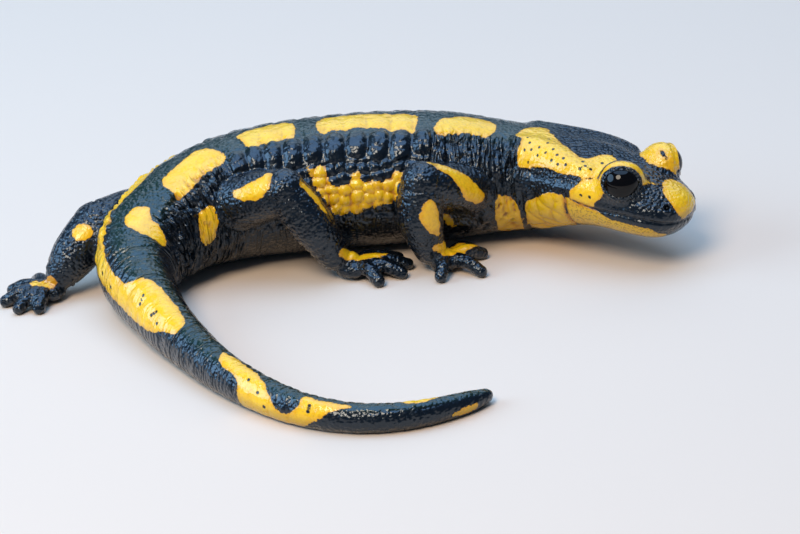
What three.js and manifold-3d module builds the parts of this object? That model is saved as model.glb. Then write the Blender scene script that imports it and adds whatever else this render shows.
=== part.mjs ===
// A fire salamander lying on its belly, life size, in millimetres.
// +Z is up and the floor is z = 0. The head points towards +X and the tail curls round towards -Y.
import * as THREE from 'three';
import { mergeVertices } from 'three/addons/utils/BufferGeometryUtils.js';
import Module from 'manifold-3d';

const wasm = await Module();
wasm.setup();

// ---- Driving dimensions ----

const gap = 0.3; // between neighbouring pieces
const totalLength = 185; // snout to tail tip, along the spine
const headEnd = 28; // lengths are measured along the spine from the snout
const neckEnd = 37;
const shouldersEnd = 52;
const bellyEnd = 69;
const hipsEnd = 91;
const tailNodes = 4; // equal lengths of tail before its tip
const tailNodeLength = 20;
const rollAxisHeight = 11; // the body rolls about a line at this height

const snoutTip = { x: 45.6, y: -21.8 };

// Bearing of the spine, in degrees, walking from the snout to the tail tip.
const bearings = [
  [0, 140], [21, 140], [38, 172], [58, 180], [70, 186], [80, 201], [88, 216], [96, 236], [103, 268],
  [110, 290], [117, 293], [124, 299], [132, 301], [140, 306.5], [152, 319], [163, 345], [174, 377],
  [185, 398],
];

// Half width, top and bottom of the body at lengths along the spine.
// A bottom below zero is pressed flat on the floor.
const halfWidths = [
  [0, 0], [0.5, 2.5], [1.5, 4.2], [3, 5.6], [5, 6.6], [8, 7.4], [12, 8.2], [17, 9.0], [21, 9.2],
  [26, 8.8], [31, 9.0], [37, 10.0], [44, 11.3], [52, 12.1], [60, 12.3], [68, 12.1], [76, 11.3],
  [84, 10.5], [91, 9.2], [98, 7.7], [105, 6.2], [112, 5.0], [119, 4.2], [127, 3.6], [136, 3.1],
  [146, 2.7], [156, 2.3], [167, 2.0], [176, 1.75], [181.5, 1.45], [184.3, 0.9], [185, 0],
];
const tops = [
  [0, 10.2], [0.5, 11.5], [1.5, 12.4], [3, 13.2], [5, 14.0], [8, 15.0], [12, 15.9], [17, 17.0],
  [22, 17.5], [28, 17.9], [35, 18.8], [44, 20.5], [54, 21.2], [64, 21.2], [73, 20.9], [81, 20.1],
  [90, 18.1], [98, 15.4], [105, 12.8], [112, 10.5], [119, 8.8], [127, 7.3], [136, 6.0],
  [146, 5.2], [156, 4.5], [167, 3.9], [176, 3.5], [181.5, 2.9], [184.3, 2.2], [185, 1.2],
];
const bottoms = [
  [0, 10.2], [0.5, 8.0], [1.5, 6.5], [3, 5.4], [5, 4.9], [9, 4.9], [14, 5.0], [20, 3.9], [26, 2.1],
  [31, 1.2], [37, 0.4], [44, -0.3], [52, -0.5], [64, -0.5], [74, -0.4], [82, 0], [89, 0.4],
  [96, 0.2], [104, -0.3], [120, -0.35], [160, -0.3], [176, -0.25], [181.5, -0.1], [184.3, 0.4], [185, 1.2],
];
// Exponent of each section's superellipse: 2 is an ellipse, more is squarer.
const squareness = [[0, 2], [6, 2.3], [16, 2.4], [28, 2.2], [50, 2.1], [90, 2.1], [185, 2]];
// The right side is rolled up a little, in degrees.
const rolls = [[0, 5], [28, 5], [48, 9], [80, 9], [108, 0], [185, 0]];

// Folds and glands. Angles round the body are in degrees: 0 is the back's middle, 180 the belly's.
const costal = {
  from: 43, to: 83, fade: 3, pitch: 3.55, depth: 0.55, fromAngle: 48, toAngle: 128, fadeAngle: 18,
};
const tailGrooves = { from: 96, fade: 6, pitch: 5, depth: 0.22, fullHalfWidth: 6 };
const parotoid = { from: 13, to: 33, fade: 5, angle: 50, halfAngle: 19, frontShare: 0.65, height: 1.1 };
const throatFold = { at: 25.9, halfLength: 0.9, depth: 0.75, fromAngle: 84, fullAngle: 104 };
const spineGroove = { from: 34, to: 92, fade: 7, depth: 0.3, halfAngle: 24 };

const eye = { back: 9, out: 5.75, height: 14.4, radius: 3.1, forward: 32, up: 12 };
const lid = {
  thickness: 0.4, rise: 0.15, flatness: 0.88, halfLength: 2.95, halfHeight: 2.4, openingDepth: 8,
};
const mouth = { gape: 0.4, depth: 0.75, spacing: 2.4, width: 30 };
const mouthCurve = [[-2, 8.2], [1.5, 8.5], [4, 9.1], [7, 9.5], [11, 9.7], [14.5, 10.2], [17.5, 11.0]];
const nostril = { back: 1.6, out: 3.9, height: 11.2, radius: 0.45, depth: 0.9 };

// Joints of each leg: x, y, height. The root lies inside the body.
const rightForeleg = {
  name: 'right_foreleg',
  joints: [[15.5, -5, 8.5], [9.8, -11.2, 12.2], [4.2, -14.3, 15], [3.4, -15, 9.5], [4.6, -14.8, 3.6]],
  radii: [3.9, 3.6, 3.5, 3.7, 2.6],
  palm: { at: [7.2, -14.9, 1.55], length: 3.4, width: 3.0, thickness: 1.7, turn: -10 },
  digitTips: [[11.2, -9.9], [13.0, -12.2], [12.4, -19.0], [5.9, -19.8]],
};
const leftForeleg = {
  name: 'left_foreleg',
  joints: [[15.5, 4, 8], [13, 9.9, 9.6], [11.4, 14.6, 10.2], [14.8, 17, 7], [18.4, 17.9, 3.4]],
  radii: [3.9, 3.5, 3.35, 3.4, 2.5],
  palm: { at: [21.2, 17.8, 1.55], length: 3.4, width: 3.0, thickness: 1.7, turn: 0 },
  digitTips: [[24.8, 13.4], [28, 15.8], [28, 19.6], [24, 23]],
};
const rightHindLeg = {
  name: 'right_hind_leg',
  joints: [
    [-30, -5.5, 8.6], [-25, -11.2, 12.8], [-17.8, -14.1, 15.4], [-13.4, -15.2, 8.8], [-10.8, -14.9, 3.9],
  ],
  radii: [4.9, 4.4, 3.65, 3.5, 2.5],
  palm: { at: [-7.4, -14.6, 1.6], length: 3.9, width: 3.2, thickness: 1.75, turn: 4 },
  digitTips: [[-3.9, -10.6], [-0.6, -11.4], [0.9, -14], [-0.2, -17.2], [-4, -19.6]],
};
const leftHindLeg = {
  name: 'left_hind_leg',
  joints: [[-33, -2.6, 8.2], [-41, -4.8, 9.5], [-48.8, -8.5, 9.4], [-52.2, -11.6, 6.5], [-54.9, -13.6, 3.7]],
  radii: [4.8, 4.6, 4.1, 3.8, 2.7],
  palm: { at: [-57.2, -14.5, 1.6], length: 3.7, width: 3.2, thickness: 1.75, turn: 10 },
  digitTips: [[-58.2, -19.7], [-61.5, -19.2], [-63.9, -16.1], [-63.2, -12.1], [-59.6, -9.1]],
};
const digit = {
  rootRadius: 1.45, tipRadius: 1.0, knuckleShare: 0.6, knuckleHeight: 2.0, sides: 6, sink: 0.12,
};
const floorBlock = { width: 300, depth: 20 }; // trims the legs flat underneath
const trunkSides = 30;
const tailSides = 16;
const legSides = 11;

const skinBlack = 0x14181c;
const skinYellow = 0xe8b80c;
const eyeBlack = 0x050506;

// ---- Curves through the tables ----

// Smooth value at a length, from [length, value] pairs.
function valueAt(table, length) {
  const last = table.length - 1;
  if (length <= table[0][0]) return table[0][1];
  if (length >= table[last][0]) return table[last][1];
  const i = table.findIndex((pair) => pair[0] > length) - 1;
  const slopeAt = (k) => {
    const before = table[Math.max(k - 1, 0)];
    const after = table[Math.min(k + 1, last)];
    return (after[1] - before[1]) / (after[0] - before[0]);
  };
  const [start, startValue] = table[i];
  const [end, endValue] = table[i + 1];
  const span = end - start;
  const t = (length - start) / span;
  const bend = (3 - 2 * t) * t * t;
  const leaving = t * (1 - t) * (1 - t) * span * slopeAt(i);
  const arriving = t * t * (t - 1) * span * slopeAt(i + 1);
  return startValue + (endValue - startValue) * bend + leaving + arriving;
}

// Rises from 0 to 1 between two values, then falls again between two more.
function plateau(value, start, full, fade, end) {
  const rise = THREE.MathUtils.smoothstep(value, start, full);
  return rise * (1 - THREE.MathUtils.smoothstep(value, fade, end));
}

const spineStep = 0.25;
const spinePoints = [{ ...snoutTip }];
for (let length = 0; length < totalLength; length += spineStep) {
  const bearing = THREE.MathUtils.degToRad(valueAt(bearings, length + spineStep / 2));
  const previous = spinePoints[spinePoints.length - 1];
  spinePoints.push({
    x: previous.x + spineStep * Math.cos(bearing),
    y: previous.y + spineStep * Math.sin(bearing),
  });
}

// Place and direction of the spine at a length, seen from above.
function spineAt(length) {
  const bearing = THREE.MathUtils.degToRad(valueAt(bearings, length));
  const steps = length / spineStep;
  const index = Math.min(Math.max(Math.floor(steps), 0), spinePoints.length - 2);
  const a = spinePoints[index];
  const b = spinePoints[index + 1];
  return {
    x: a.x + (b.x - a.x) * (steps - index),
    y: a.y + (b.y - a.y) * (steps - index),
    tailward: { x: Math.cos(bearing), y: Math.sin(bearing) },
  };
}

// A point of the body, from its length along the spine, distance to the right and height.
function bodyPoint(length, right, height) {
  const { x, y, tailward } = spineAt(length);
  const roll = THREE.MathUtils.degToRad(valueAt(rolls, length));
  const up = height - rollAxisHeight;
  const across = right * Math.cos(roll) - up * Math.sin(roll);
  const z = rollAxisHeight + right * Math.sin(roll) + up * Math.cos(roll);
  return new THREE.Vector3(x - tailward.y * across, y + tailward.x * across, Math.max(z, 0));
}

// ---- The body's surface ----

// How far the folds and glands raise the surface, from a length and an angle.
function relief(length, angle) {
  const { smoothstep, clamp } = THREE.MathUtils;
  const side = Math.abs(angle);
  const wave = (groove) => 0.5 + 0.5 * Math.cos((2 * Math.PI * (length - groove.from)) / groove.pitch);
  const within = (fold) => plateau(length, fold.from, fold.from + fold.fade, fold.to - fold.fade, fold.to);

  const lowAngle = costal.fromAngle - costal.fadeAngle;
  const highAngle = costal.toAngle + costal.fadeAngle;
  const onFlank = plateau(side, lowAngle, costal.fromAngle, costal.toAngle, highAngle);
  let height = -costal.depth * wave(costal) * onFlank * within(costal);

  const onTail = smoothstep(length, tailGrooves.from, tailGrooves.from + tailGrooves.fade);
  const thinning = clamp(valueAt(halfWidths, length) / tailGrooves.fullHalfWidth, 0, 1);
  height -= tailGrooves.depth * wave(tailGrooves) * onTail * thinning;

  const widening = smoothstep(length, parotoid.from, (parotoid.from + parotoid.to) / 2);
  const glandHalf = parotoid.halfAngle * THREE.MathUtils.lerp(parotoid.frontShare, 1, widening);
  const fromGland = Math.abs(side - parotoid.angle) / glandHalf;
  height += parotoid.height * within(parotoid) * (1 - smoothstep(fromGland, 0.5, 1.3));

  const fromFold = Math.abs(length - throatFold.at) / throatFold.halfLength;
  const belowJaw = smoothstep(side, throatFold.fromAngle, throatFold.fullAngle);
  height -= throatFold.depth * Math.max(0, 1 - fromFold) * belowJaw;

  height -= spineGroove.depth * within(spineGroove) * (1 - smoothstep(side, 0, spineGroove.halfAngle));
  return height;
}

function signedPower(value, exponent) {
  return Math.sign(value) * Math.abs(value) ** exponent;
}

// One closed ring of points round the body, grown outwards by a distance.
function bodyRing(length, sides, grow) {
  const halfWidth = valueAt(halfWidths, length);
  const top = valueAt(tops, length);
  const bottom = valueAt(bottoms, length);
  const exponent = 2 / valueAt(squareness, length);
  const ring = [];
  for (let k = 0; k < sides; k += 1) {
    const turn = (2 * Math.PI * k) / sides;
    const degrees = THREE.MathUtils.radToDeg(turn > Math.PI ? turn - 2 * Math.PI : turn);
    const extra = relief(length, degrees) + grow;
    const across = (halfWidth + extra) * signedPower(Math.sin(turn), exponent);
    const up = ((top - bottom) / 2 + extra) * signedPower(Math.cos(turn), exponent);
    ring.push(bodyPoint(length, across, (top + bottom) / 2 + up));
  }
  return ring;
}

// A closed surface through rings of equally many points, with a centre point at each end.
function loft(startCentre, rings, endCentre) {
  const sides = rings[0].length;
  const points = [startCentre, ...rings.flat(), endCentre];
  const indices = [];
  const at = (ring, k) => 1 + ring * sides + (k % sides);
  const endIndex = points.length - 1;
  for (let k = 0; k < sides; k += 1) {
    indices.push(0, at(0, k), at(0, k + 1));
    indices.push(endIndex, at(rings.length - 1, k + 1), at(rings.length - 1, k));
    for (let ring = 0; ring < rings.length - 1; ring += 1) {
      indices.push(at(ring, k), at(ring + 1, k), at(ring + 1, k + 1));
      indices.push(at(ring, k), at(ring + 1, k + 1), at(ring, k + 1));
    }
  }
  const geometry = new THREE.BufferGeometry().setFromPoints(points);
  geometry.setIndex(indices);
  return geometry;
}

function meanPoint(points) {
  const sum = points.reduce((total, point) => total.add(point), new THREE.Vector3());
  return sum.divideScalar(points.length);
}

// A length of the body between two flat cuts. Its ends are poles where the body itself ends.
function bodyLength(lengths, sides, grow = 0) {
  const rings = lengths.map((length) => bodyRing(length, sides, grow));
  return loft(meanPoint(rings[0]), rings, meanPoint(rings[rings.length - 1]));
}

// Evenly spaced lengths from one end to the other.
function evenLengths(from, to, spacing) {
  const steps = Math.max(1, Math.round((to - from) / spacing));
  return Array.from({ length: steps + 1 }, (_, i) => from + ((to - from) * i) / steps);
}

// ---- Joining and cutting ----

// One vertex at each point, so that the surface is closed.
function welded(geometry) {
  geometry.deleteAttribute('normal');
  geometry.deleteAttribute('uv');
  return mergeVertices(geometry, 1e-5);
}

function toSolid(geometry) {
  const merged = welded(geometry);
  const vertProperties = new Float32Array(merged.getAttribute('position').array);
  const triVerts = new Uint32Array(merged.getIndex().array);
  return new wasm.Manifold(new wasm.Mesh({ numProp: 3, vertProperties, triVerts }));
}

// The largest closed surface of a solid, as a geometry.
function toGeometry(solid) {
  const pieces = solid.decompose();
  pieces.sort((a, b) => b.volume() - a.volume());
  const mesh = pieces[0].getMesh();
  const geometry = new THREE.BufferGeometry();
  geometry.setAttribute('position', new THREE.BufferAttribute(new Float32Array(mesh.vertProperties), 3));
  geometry.setIndex(Array.from(mesh.triVerts));
  return geometry;
}

function solidBall(centre, radius, sides) {
  const ball = new THREE.SphereGeometry(radius, sides, Math.ceil(sides / 2));
  return toSolid(ball.translate(centre.x, centre.y, centre.z));
}

const group = new THREE.Group();

function addNode(name, geometry, color, roughness) {
  geometry.computeVertexNormals();
  const material = new THREE.MeshStandardMaterial({ color, roughness, metalness: 0 });
  const mesh = new THREE.Mesh(geometry, material);
  mesh.name = name;
  group.add(mesh);
}

// ---- Head ----

const sideSign = { right: 1, left: -1 };

// Directions in the head: forwards, to the right and up.
function headAxes() {
  const origin = bodyPoint(0, 0, rollAxisHeight);
  const forward = origin.clone().sub(bodyPoint(headEnd / 2, 0, rollAxisHeight)).normalize();
  const right = bodyPoint(0, 1, rollAxisHeight).sub(origin).normalize();
  const up = new THREE.Vector3().crossVectors(right, forward);
  return { forward, right, up };
}

function eyeCentre(side) {
  return bodyPoint(eye.back, side * eye.out, eye.height);
}

// The way an eye looks: outwards, turned a little forwards and up.
function gaze(side) {
  const { forward, right, up } = headAxes();
  const ahead = THREE.MathUtils.degToRad(eye.forward);
  const rise = THREE.MathUtils.degToRad(eye.up);
  const level = right.multiplyScalar(side * Math.cos(ahead)).addScaledVector(forward, Math.sin(ahead));
  return level.multiplyScalar(Math.cos(rise)).addScaledVector(up, Math.sin(rise)).normalize();
}

// The bulge of both lids round an eye.
function lidBulge(side) {
  const radius = eye.radius + gap + lid.thickness;
  const centre = eyeCentre(side);
  const bulge = new THREE.SphereGeometry(radius, 18, 12).scale(1, 1, lid.flatness);
  return toSolid(bulge.translate(centre.x, centre.y, centre.z + lid.rise));
}

// The opening between the lids: an oval bore along the gaze.
function lidOpening(side) {
  const bore = new THREE.CylinderGeometry(1, 1, lid.openingDepth, 18).translate(0, lid.openingDepth / 2, 0);
  const look = gaze(side);
  const across = new THREE.Vector3().crossVectors(look, new THREE.Vector3(0, 0, 1)).normalize();
  const upright = new THREE.Vector3().crossVectors(across, look);
  const basis = new THREE.Matrix4().makeBasis(
    across.multiplyScalar(lid.halfLength), look, upright.multiplyScalar(lid.halfHeight),
  );
  bore.applyMatrix4(basis);
  const centre = eyeCentre(side);
  return toSolid(bore.translate(centre.x, centre.y, centre.z));
}

function eyeSocket(side) {
  return solidBall(eyeCentre(side), eye.radius + gap, 16);
}

// The line of the mouth: a thin band that bites into the skin from the snout back to both jaw corners.
function mouthLine(lengths, sides) {
  const outline = new THREE.Shape();
  const steps = evenLengths(mouthCurve[0][0], mouthCurve[mouthCurve.length - 1][0], mouth.spacing);
  const upper = steps.map((length) => [length, valueAt(mouthCurve, length) + mouth.gape / 2]);
  const lower = steps.map((length) => [length, valueAt(mouthCurve, length) - mouth.gape / 2]).reverse();
  [...upper, ...lower].forEach(([length, height], i) => {
    if (i === 0) outline.moveTo(length, height);
    else outline.lineTo(length, height);
  });
  const band = new THREE.ExtrudeGeometry(outline, { depth: mouth.width, bevelEnabled: false, steps: 1 });
  band.translate(0, 0, -mouth.width / 2);
  const { forward, right, up } = headAxes();
  const basis = new THREE.Matrix4().makeBasis(forward.negate(), up, right.negate());
  const origin = bodyPoint(0, 0, rollAxisHeight);
  band.translate(0, -rollAxisHeight, 0).applyMatrix4(basis).translate(origin.x, origin.y, origin.z);
  const core = toSolid(bodyLength(lengths.map((length) => length + mouth.depth), sides, -mouth.depth));
  return toSolid(band).subtract(core);
}

function nostrilHole(side) {
  const { forward, right } = headAxes();
  const outwards = forward.addScaledVector(right, side).normalize();
  const hole = new THREE.CylinderGeometry(nostril.radius, nostril.radius * 0.7, nostril.depth * 2, 8);
  hole.applyQuaternion(new THREE.Quaternion().setFromUnitVectors(new THREE.Vector3(0, 1, 0), outwards));
  const centre = bodyPoint(nostril.back, side * nostril.out, nostril.height);
  return toSolid(hole.translate(centre.x, centre.y, centre.z));
}

function addHead() {
  const sides = 32;
  const { at, halfLength } = throatFold;
  const snout = [0.12, 0.6, 1.3, 2.4, 3.7];
  const lengths = [...snout, ...evenLengths(5.2, 23.4, 1.8), at - halfLength, at, at + halfLength];
  lengths.push(headEnd - gap / 2);
  let head = toSolid(bodyLength(lengths, sides));
  for (const side of Object.values(sideSign)) head = head.add(lidBulge(side));
  for (const side of Object.values(sideSign)) {
    head = head.subtract(lidOpening(side)).subtract(eyeSocket(side)).subtract(nostrilHole(side));
  }
  head = head.subtract(mouthLine(lengths, sides));
  addNode('head', toGeometry(head), skinYellow, 0.35);
}

function addEyes() {
  for (const [name, side] of Object.entries(sideSign)) {
    const centre = eyeCentre(side);
    const ball = welded(new THREE.SphereGeometry(eye.radius, 16, 10));
    addNode(`eye_${name}`, ball.translate(centre.x, centre.y, centre.z), eyeBlack, 0.05);
  }
}

// ---- Neck, trunk and tail ----

function addBodyNode(name, from, to, spacing, sides, color) {
  const lengths = evenLengths(from + gap / 2, to - gap / 2, spacing);
  addNode(name, bodyLength(lengths, sides), color, 0.35);
}

function addTrunk() {
  const spacing = costal.pitch / 3;
  addBodyNode('neck', headEnd, neckEnd, costal.pitch / 2, trunkSides, skinBlack);
  addBodyNode('torso_shoulders', neckEnd, shouldersEnd, spacing, trunkSides, skinBlack);
  addBodyNode('torso_belly', shouldersEnd, bellyEnd, spacing, trunkSides, skinBlack);
  addBodyNode('torso_hips', bellyEnd, hipsEnd, spacing, trunkSides, skinBlack);
}

function addTail() {
  const spacing = tailGrooves.pitch / 2;
  const tipRings = [181.5, 183.2, 184.2, 184.7, 184.95];
  const tipStart = hipsEnd + tailNodes * tailNodeLength;
  for (let i = 0; i < tailNodes; i += 1) {
    const from = hipsEnd + i * tailNodeLength;
    const color = i % 2 ? skinBlack : skinYellow;
    addBodyNode(`tail_${i + 1}`, from, from + tailNodeLength, spacing, tailSides, color);
  }
  const lengths = [...evenLengths(tipStart + gap / 2, tipRings[0] - 2, spacing), ...tipRings];
  addNode('tail_tip', bodyLength(lengths, tailSides), skinBlack, 0.35);
}

// ---- Legs ----

// A round-sectioned limb along a smooth path, with a ball at its far end. Radii go with the path's points.
function limb(points, radii, steps, sides, grow = 0) {
  const path = new THREE.CatmullRomCurve3(points, false, 'centripetal');
  const start = points[0];
  const end = points[points.length - 1];
  const bow = new THREE.Vector3().crossVectors(points[1].clone().sub(start), end.clone().sub(points[1]));
  const reference = bow.length() > 1 ? bow.normalize() : new THREE.Vector3(0.3, 0.2, 1).normalize();
  const stations = radii.map((radius, i) => [i / (radii.length - 1), radius]);
  const rings = [];
  for (let i = 0; i <= steps; i += 1) {
    const centre = path.getPoint(i / steps);
    const tangent = path.getTangent(i / steps);
    const across = new THREE.Vector3().crossVectors(reference, tangent).normalize();
    const upright = new THREE.Vector3().crossVectors(tangent, across);
    const radius = valueAt(stations, i / steps) + grow;
    const ring = [];
    for (let k = 0; k < sides; k += 1) {
      const turn = (2 * Math.PI * k) / sides;
      const point = centre.clone().addScaledVector(upright, radius * Math.cos(turn));
      ring.push(point.addScaledVector(across, radius * Math.sin(turn)));
    }
    rings.push(ring);
  }
  const shaft = toSolid(loft(meanPoint(rings[0]), rings, meanPoint(rings[steps])));
  return shaft.add(solidBall(end, radii[radii.length - 1] + grow, sides));
}

function addDigit(foot, palmCentre, tip) {
  const end = new THREE.Vector3(tip[0], tip[1], digit.tipRadius - digit.sink);
  const knuckle = palmCentre.clone().lerp(end, digit.knuckleShare).setZ(digit.knuckleHeight);
  const radii = [digit.rootRadius, (digit.rootRadius + digit.tipRadius) / 2, digit.tipRadius];
  return foot.add(limb([palmCentre, knuckle, end], radii, 4, digit.sides));
}

function legFoot(leg, wrist, wristRadius) {
  const { at, length, width, thickness, turn } = leg.palm;
  const centre = new THREE.Vector3(...at);
  const palm = new THREE.SphereGeometry(1, 12, 6).scale(length, width, thickness);
  palm.rotateZ(THREE.MathUtils.degToRad(turn)).translate(...at);
  const middle = wrist.clone().lerp(centre, 0.5);
  let foot = toSolid(palm).add(limb([wrist, middle, centre], [wristRadius, 2, 1.5], 3, 8));
  for (const tip of leg.digitTips) foot = addDigit(foot, centre, tip);
  return foot;
}

// Each segment is cut clear of the one above it, of the body and of the floor.
function addLeg(leg, obstacles) {
  const joints = leg.joints.map((joint) => new THREE.Vector3(...joint));
  const segment = (from, grow) => (
    limb(joints.slice(from, from + 3), leg.radii.slice(from, from + 3), 5, legSides, grow)
  );
  const upper = segment(0, 0);
  const aroundUpper = segment(0, gap);
  const lower = segment(2, 0).subtract(aroundUpper);
  const foot = legFoot(leg, joints[4], leg.radii[4]).subtract(segment(2, gap)).subtract(aroundUpper);
  for (const [part, solid] of Object.entries({ upper, lower, foot })) {
    addNode(`${leg.name}_${part}`, toGeometry(solid.subtract(obstacles)), skinBlack, 0.35);
  }
}

function addLegs() {
  const aroundBody = toSolid(bodyLength(evenLengths(24, 125, costal.pitch / 2), trunkSides, gap));
  const block = new THREE.BoxGeometry(floorBlock.width, floorBlock.width, floorBlock.depth);
  const obstacles = toSolid(block.translate(0, 0, -floorBlock.depth / 2)).add(aroundBody);
  for (const leg of [rightForeleg, leftForeleg, rightHindLeg, leftHindLeg]) addLeg(leg, obstacles);
}

addHead();
addEyes();
addTrunk();
addTail();
addLegs();

// The origin is at the middle of the bounding box's floor.
const box = new THREE.Box3().setFromObject(group);
group.position.set(-(box.min.x + box.max.x) / 2, -(box.min.y + box.max.y) / 2, -box.min.z);
group.updateMatrixWorld(true);

export default group;
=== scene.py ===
import math

import bmesh
import bpy
import numpy as np
from mathutils import Matrix, Vector, noise


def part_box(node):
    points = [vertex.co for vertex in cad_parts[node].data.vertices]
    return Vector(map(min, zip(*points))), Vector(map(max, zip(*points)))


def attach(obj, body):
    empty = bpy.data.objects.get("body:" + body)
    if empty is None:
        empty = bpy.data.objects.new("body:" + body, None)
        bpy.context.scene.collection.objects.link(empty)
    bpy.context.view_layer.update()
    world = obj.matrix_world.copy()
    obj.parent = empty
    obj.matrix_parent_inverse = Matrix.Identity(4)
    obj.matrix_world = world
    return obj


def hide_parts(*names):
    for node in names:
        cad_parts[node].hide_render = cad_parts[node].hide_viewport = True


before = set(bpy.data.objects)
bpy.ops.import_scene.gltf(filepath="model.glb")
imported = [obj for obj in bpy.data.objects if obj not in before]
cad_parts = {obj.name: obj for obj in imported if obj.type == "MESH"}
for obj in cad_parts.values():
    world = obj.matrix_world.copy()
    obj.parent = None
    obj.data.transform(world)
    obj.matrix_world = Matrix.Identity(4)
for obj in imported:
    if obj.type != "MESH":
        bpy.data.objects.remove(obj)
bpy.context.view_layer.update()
print("frame loaded")

# Shapes are worked in millimetres, in the spine's own place, and go to the frame's metres at the end.
mm = 0.001

# The body along its spine, from the snout to the tail tip. Bearings and rolls are in degrees.
body = {
    "length": 185,
    "headLength": 14,
    "snout": (45.6, -21.8),
    "rollAxis": 11,
    "bearing": [(0, 140), (21, 140), (38, 172), (58, 180), (70, 186), (80, 201), (88, 216), (96, 236),
                (103, 268), (110, 290), (117, 293), (124, 299), (132, 301), (140, 306.5), (152, 319),
                (163, 345), (174, 377), (185, 398)],
    "halfWidth": [(0, 0), (0.5, 2.5), (1.5, 4.2), (3, 5.6), (5, 6.6), (8, 7.4), (12, 8.2), (17, 9.0),
                  (21, 9.2), (26, 8.8), (31, 9.0), (37, 10.0), (44, 11.3), (52, 12.1), (60, 12.3),
                  (68, 12.1), (76, 11.3), (84, 10.5), (91, 9.2), (98, 7.7), (105, 6.2), (112, 5.0),
                  (119, 4.2), (127, 3.6), (136, 3.1), (146, 2.7), (156, 2.3), (167, 2.0), (176, 1.75),
                  (181.5, 1.45), (184.3, 0.9), (185, 0)],
    "top": [(0, 10.2), (0.5, 11.5), (1.5, 12.4), (3, 13.2), (5, 14.0), (8, 15.0), (12, 15.9), (17, 17.0),
            (22, 17.5), (28, 17.9), (35, 18.8), (44, 20.5), (54, 21.2), (64, 21.2), (73, 20.9), (81, 20.1),
            (90, 18.1), (98, 15.4), (105, 12.8), (112, 10.5), (119, 8.8), (127, 7.3), (136, 6.0),
            (146, 5.2), (156, 4.5), (167, 3.9), (176, 3.5), (181.5, 2.9), (184.3, 2.2), (185, 1.2)],
    "bottom": [(0, 10.2), (0.5, 8.0), (1.5, 6.5), (3, 5.4), (5, 4.9), (9, 4.9), (14, 5.0), (20, 3.9),
               (26, 2.1), (31, 1.2), (37, 0.4), (44, -0.3), (52, -0.5), (64, -0.5), (74, -0.4), (82, 0),
               (89, 0.4), (96, 0.2), (104, -0.3), (120, -0.35), (160, -0.3), (176, -0.25), (181.5, -0.1),
               (184.3, 0.4), (185, 1.2)],
    "squareness": [(0, 2), (6, 2.3), (16, 2.4), (28, 2.2), (50, 2.1), (90, 2.1), (185, 2)],
    "roll": [(0, 5), (28, 5), (48, 9), (80, 9), (108, 0), (185, 0)],
}


# Smooth values through a table's pairs.
def curve(table, at):
    xs, ys = np.array(table, float).T
    slopes = np.concatenate([np.diff(ys[:2]) / np.diff(xs[:2]), (ys[2:] - ys[:-2]) / (xs[2:] - xs[:-2]),
                             np.diff(ys[-2:]) / np.diff(xs[-2:])])
    at = np.clip(at, xs[0], xs[-1])
    i = np.clip(np.searchsorted(xs, at, side="right") - 1, 0, len(xs) - 2)
    span = xs[i + 1] - xs[i]
    t = (at - xs[i]) / span
    value = ys[i] + (ys[i + 1] - ys[i]) * (3 - 2 * t) * t * t
    return value + t * (1 - t) ** 2 * span * slopes[i] + t * t * (t - 1) * span * slopes[i + 1]


# 0 below low, 1 above high, smooth between.
def ramp(x, low, high):
    t = np.clip((x - low) / (high - low), 0, 1)
    return t * t * (3 - 2 * t)


def between(x, start, full, fade, end):
    return ramp(x, start, full) * (1 - ramp(x, fade, end))


def ridge(x, width):
    return np.exp(-(x / width) ** 2)


def signedPower(x, power):
    return np.sign(x) * np.abs(x) ** power


spineStep = 0.25
spineAt = np.arange(0, body["length"] + spineStep, spineStep)
bearings = np.radians(curve(body["bearing"], spineAt[:-1] + spineStep / 2))
steps = spineStep * np.stack([np.cos(bearings), np.sin(bearings)], 1)
spine = np.vstack([body["snout"], np.array(body["snout"]) + np.cumsum(steps, 0)])
heading = np.radians(curve(body["bearing"], spineAt))
tailward = np.stack([np.cos(heading), np.sin(heading)], 1)
rightward = np.stack([-tailward[:, 1], tailward[:, 0]], 1)


# Half width, half height, middle height and ellipse power of the body at a length.
def section(length):
    top, bottom = curve(body["top"], length), curve(body["bottom"], length)
    halfWidth = np.maximum(curve(body["halfWidth"], length), 0.05)
    halfHeight = np.maximum((top - bottom) / 2, 0.05)
    return halfWidth, halfHeight, (top + bottom) / 2, 2 / curve(body["squareness"], length)


def meanRadius(length):
    return sum(section(length)[:2]) / 2


# Points from a length along the spine, a distance to the right and a height.
def placed(length, right, height):
    length = np.asarray(length, float)
    k = np.clip(length / spineStep, 0, len(spine) - 1.001)
    i = k.astype(int)
    at = spine[i] + (spine[i + 1] - spine[i]) * (k - i)[..., None]
    turn = np.radians(curve(body["bearing"], length))
    roll = np.radians(curve(body["roll"], length))
    up = height - body["rollAxis"]
    across = right * np.cos(roll) - up * np.sin(roll)
    z = body["rollAxis"] + right * np.sin(roll) + up * np.cos(roll)
    return np.stack([at[..., 0] - np.sin(turn) * across, at[..., 1] + np.cos(turn) * across, z], -1)


# Points on the body's surface: angle 0 is the back's middle, 90 the right flank, 180 the belly's middle.
def onBody(length, angle):
    halfWidth, halfHeight, middle, power = section(np.asarray(length, float))
    turn = np.radians(angle)
    right = halfWidth * signedPower(np.sin(turn), power)
    return placed(length, right, middle + halfHeight * signedPower(np.cos(turn), power))


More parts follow.
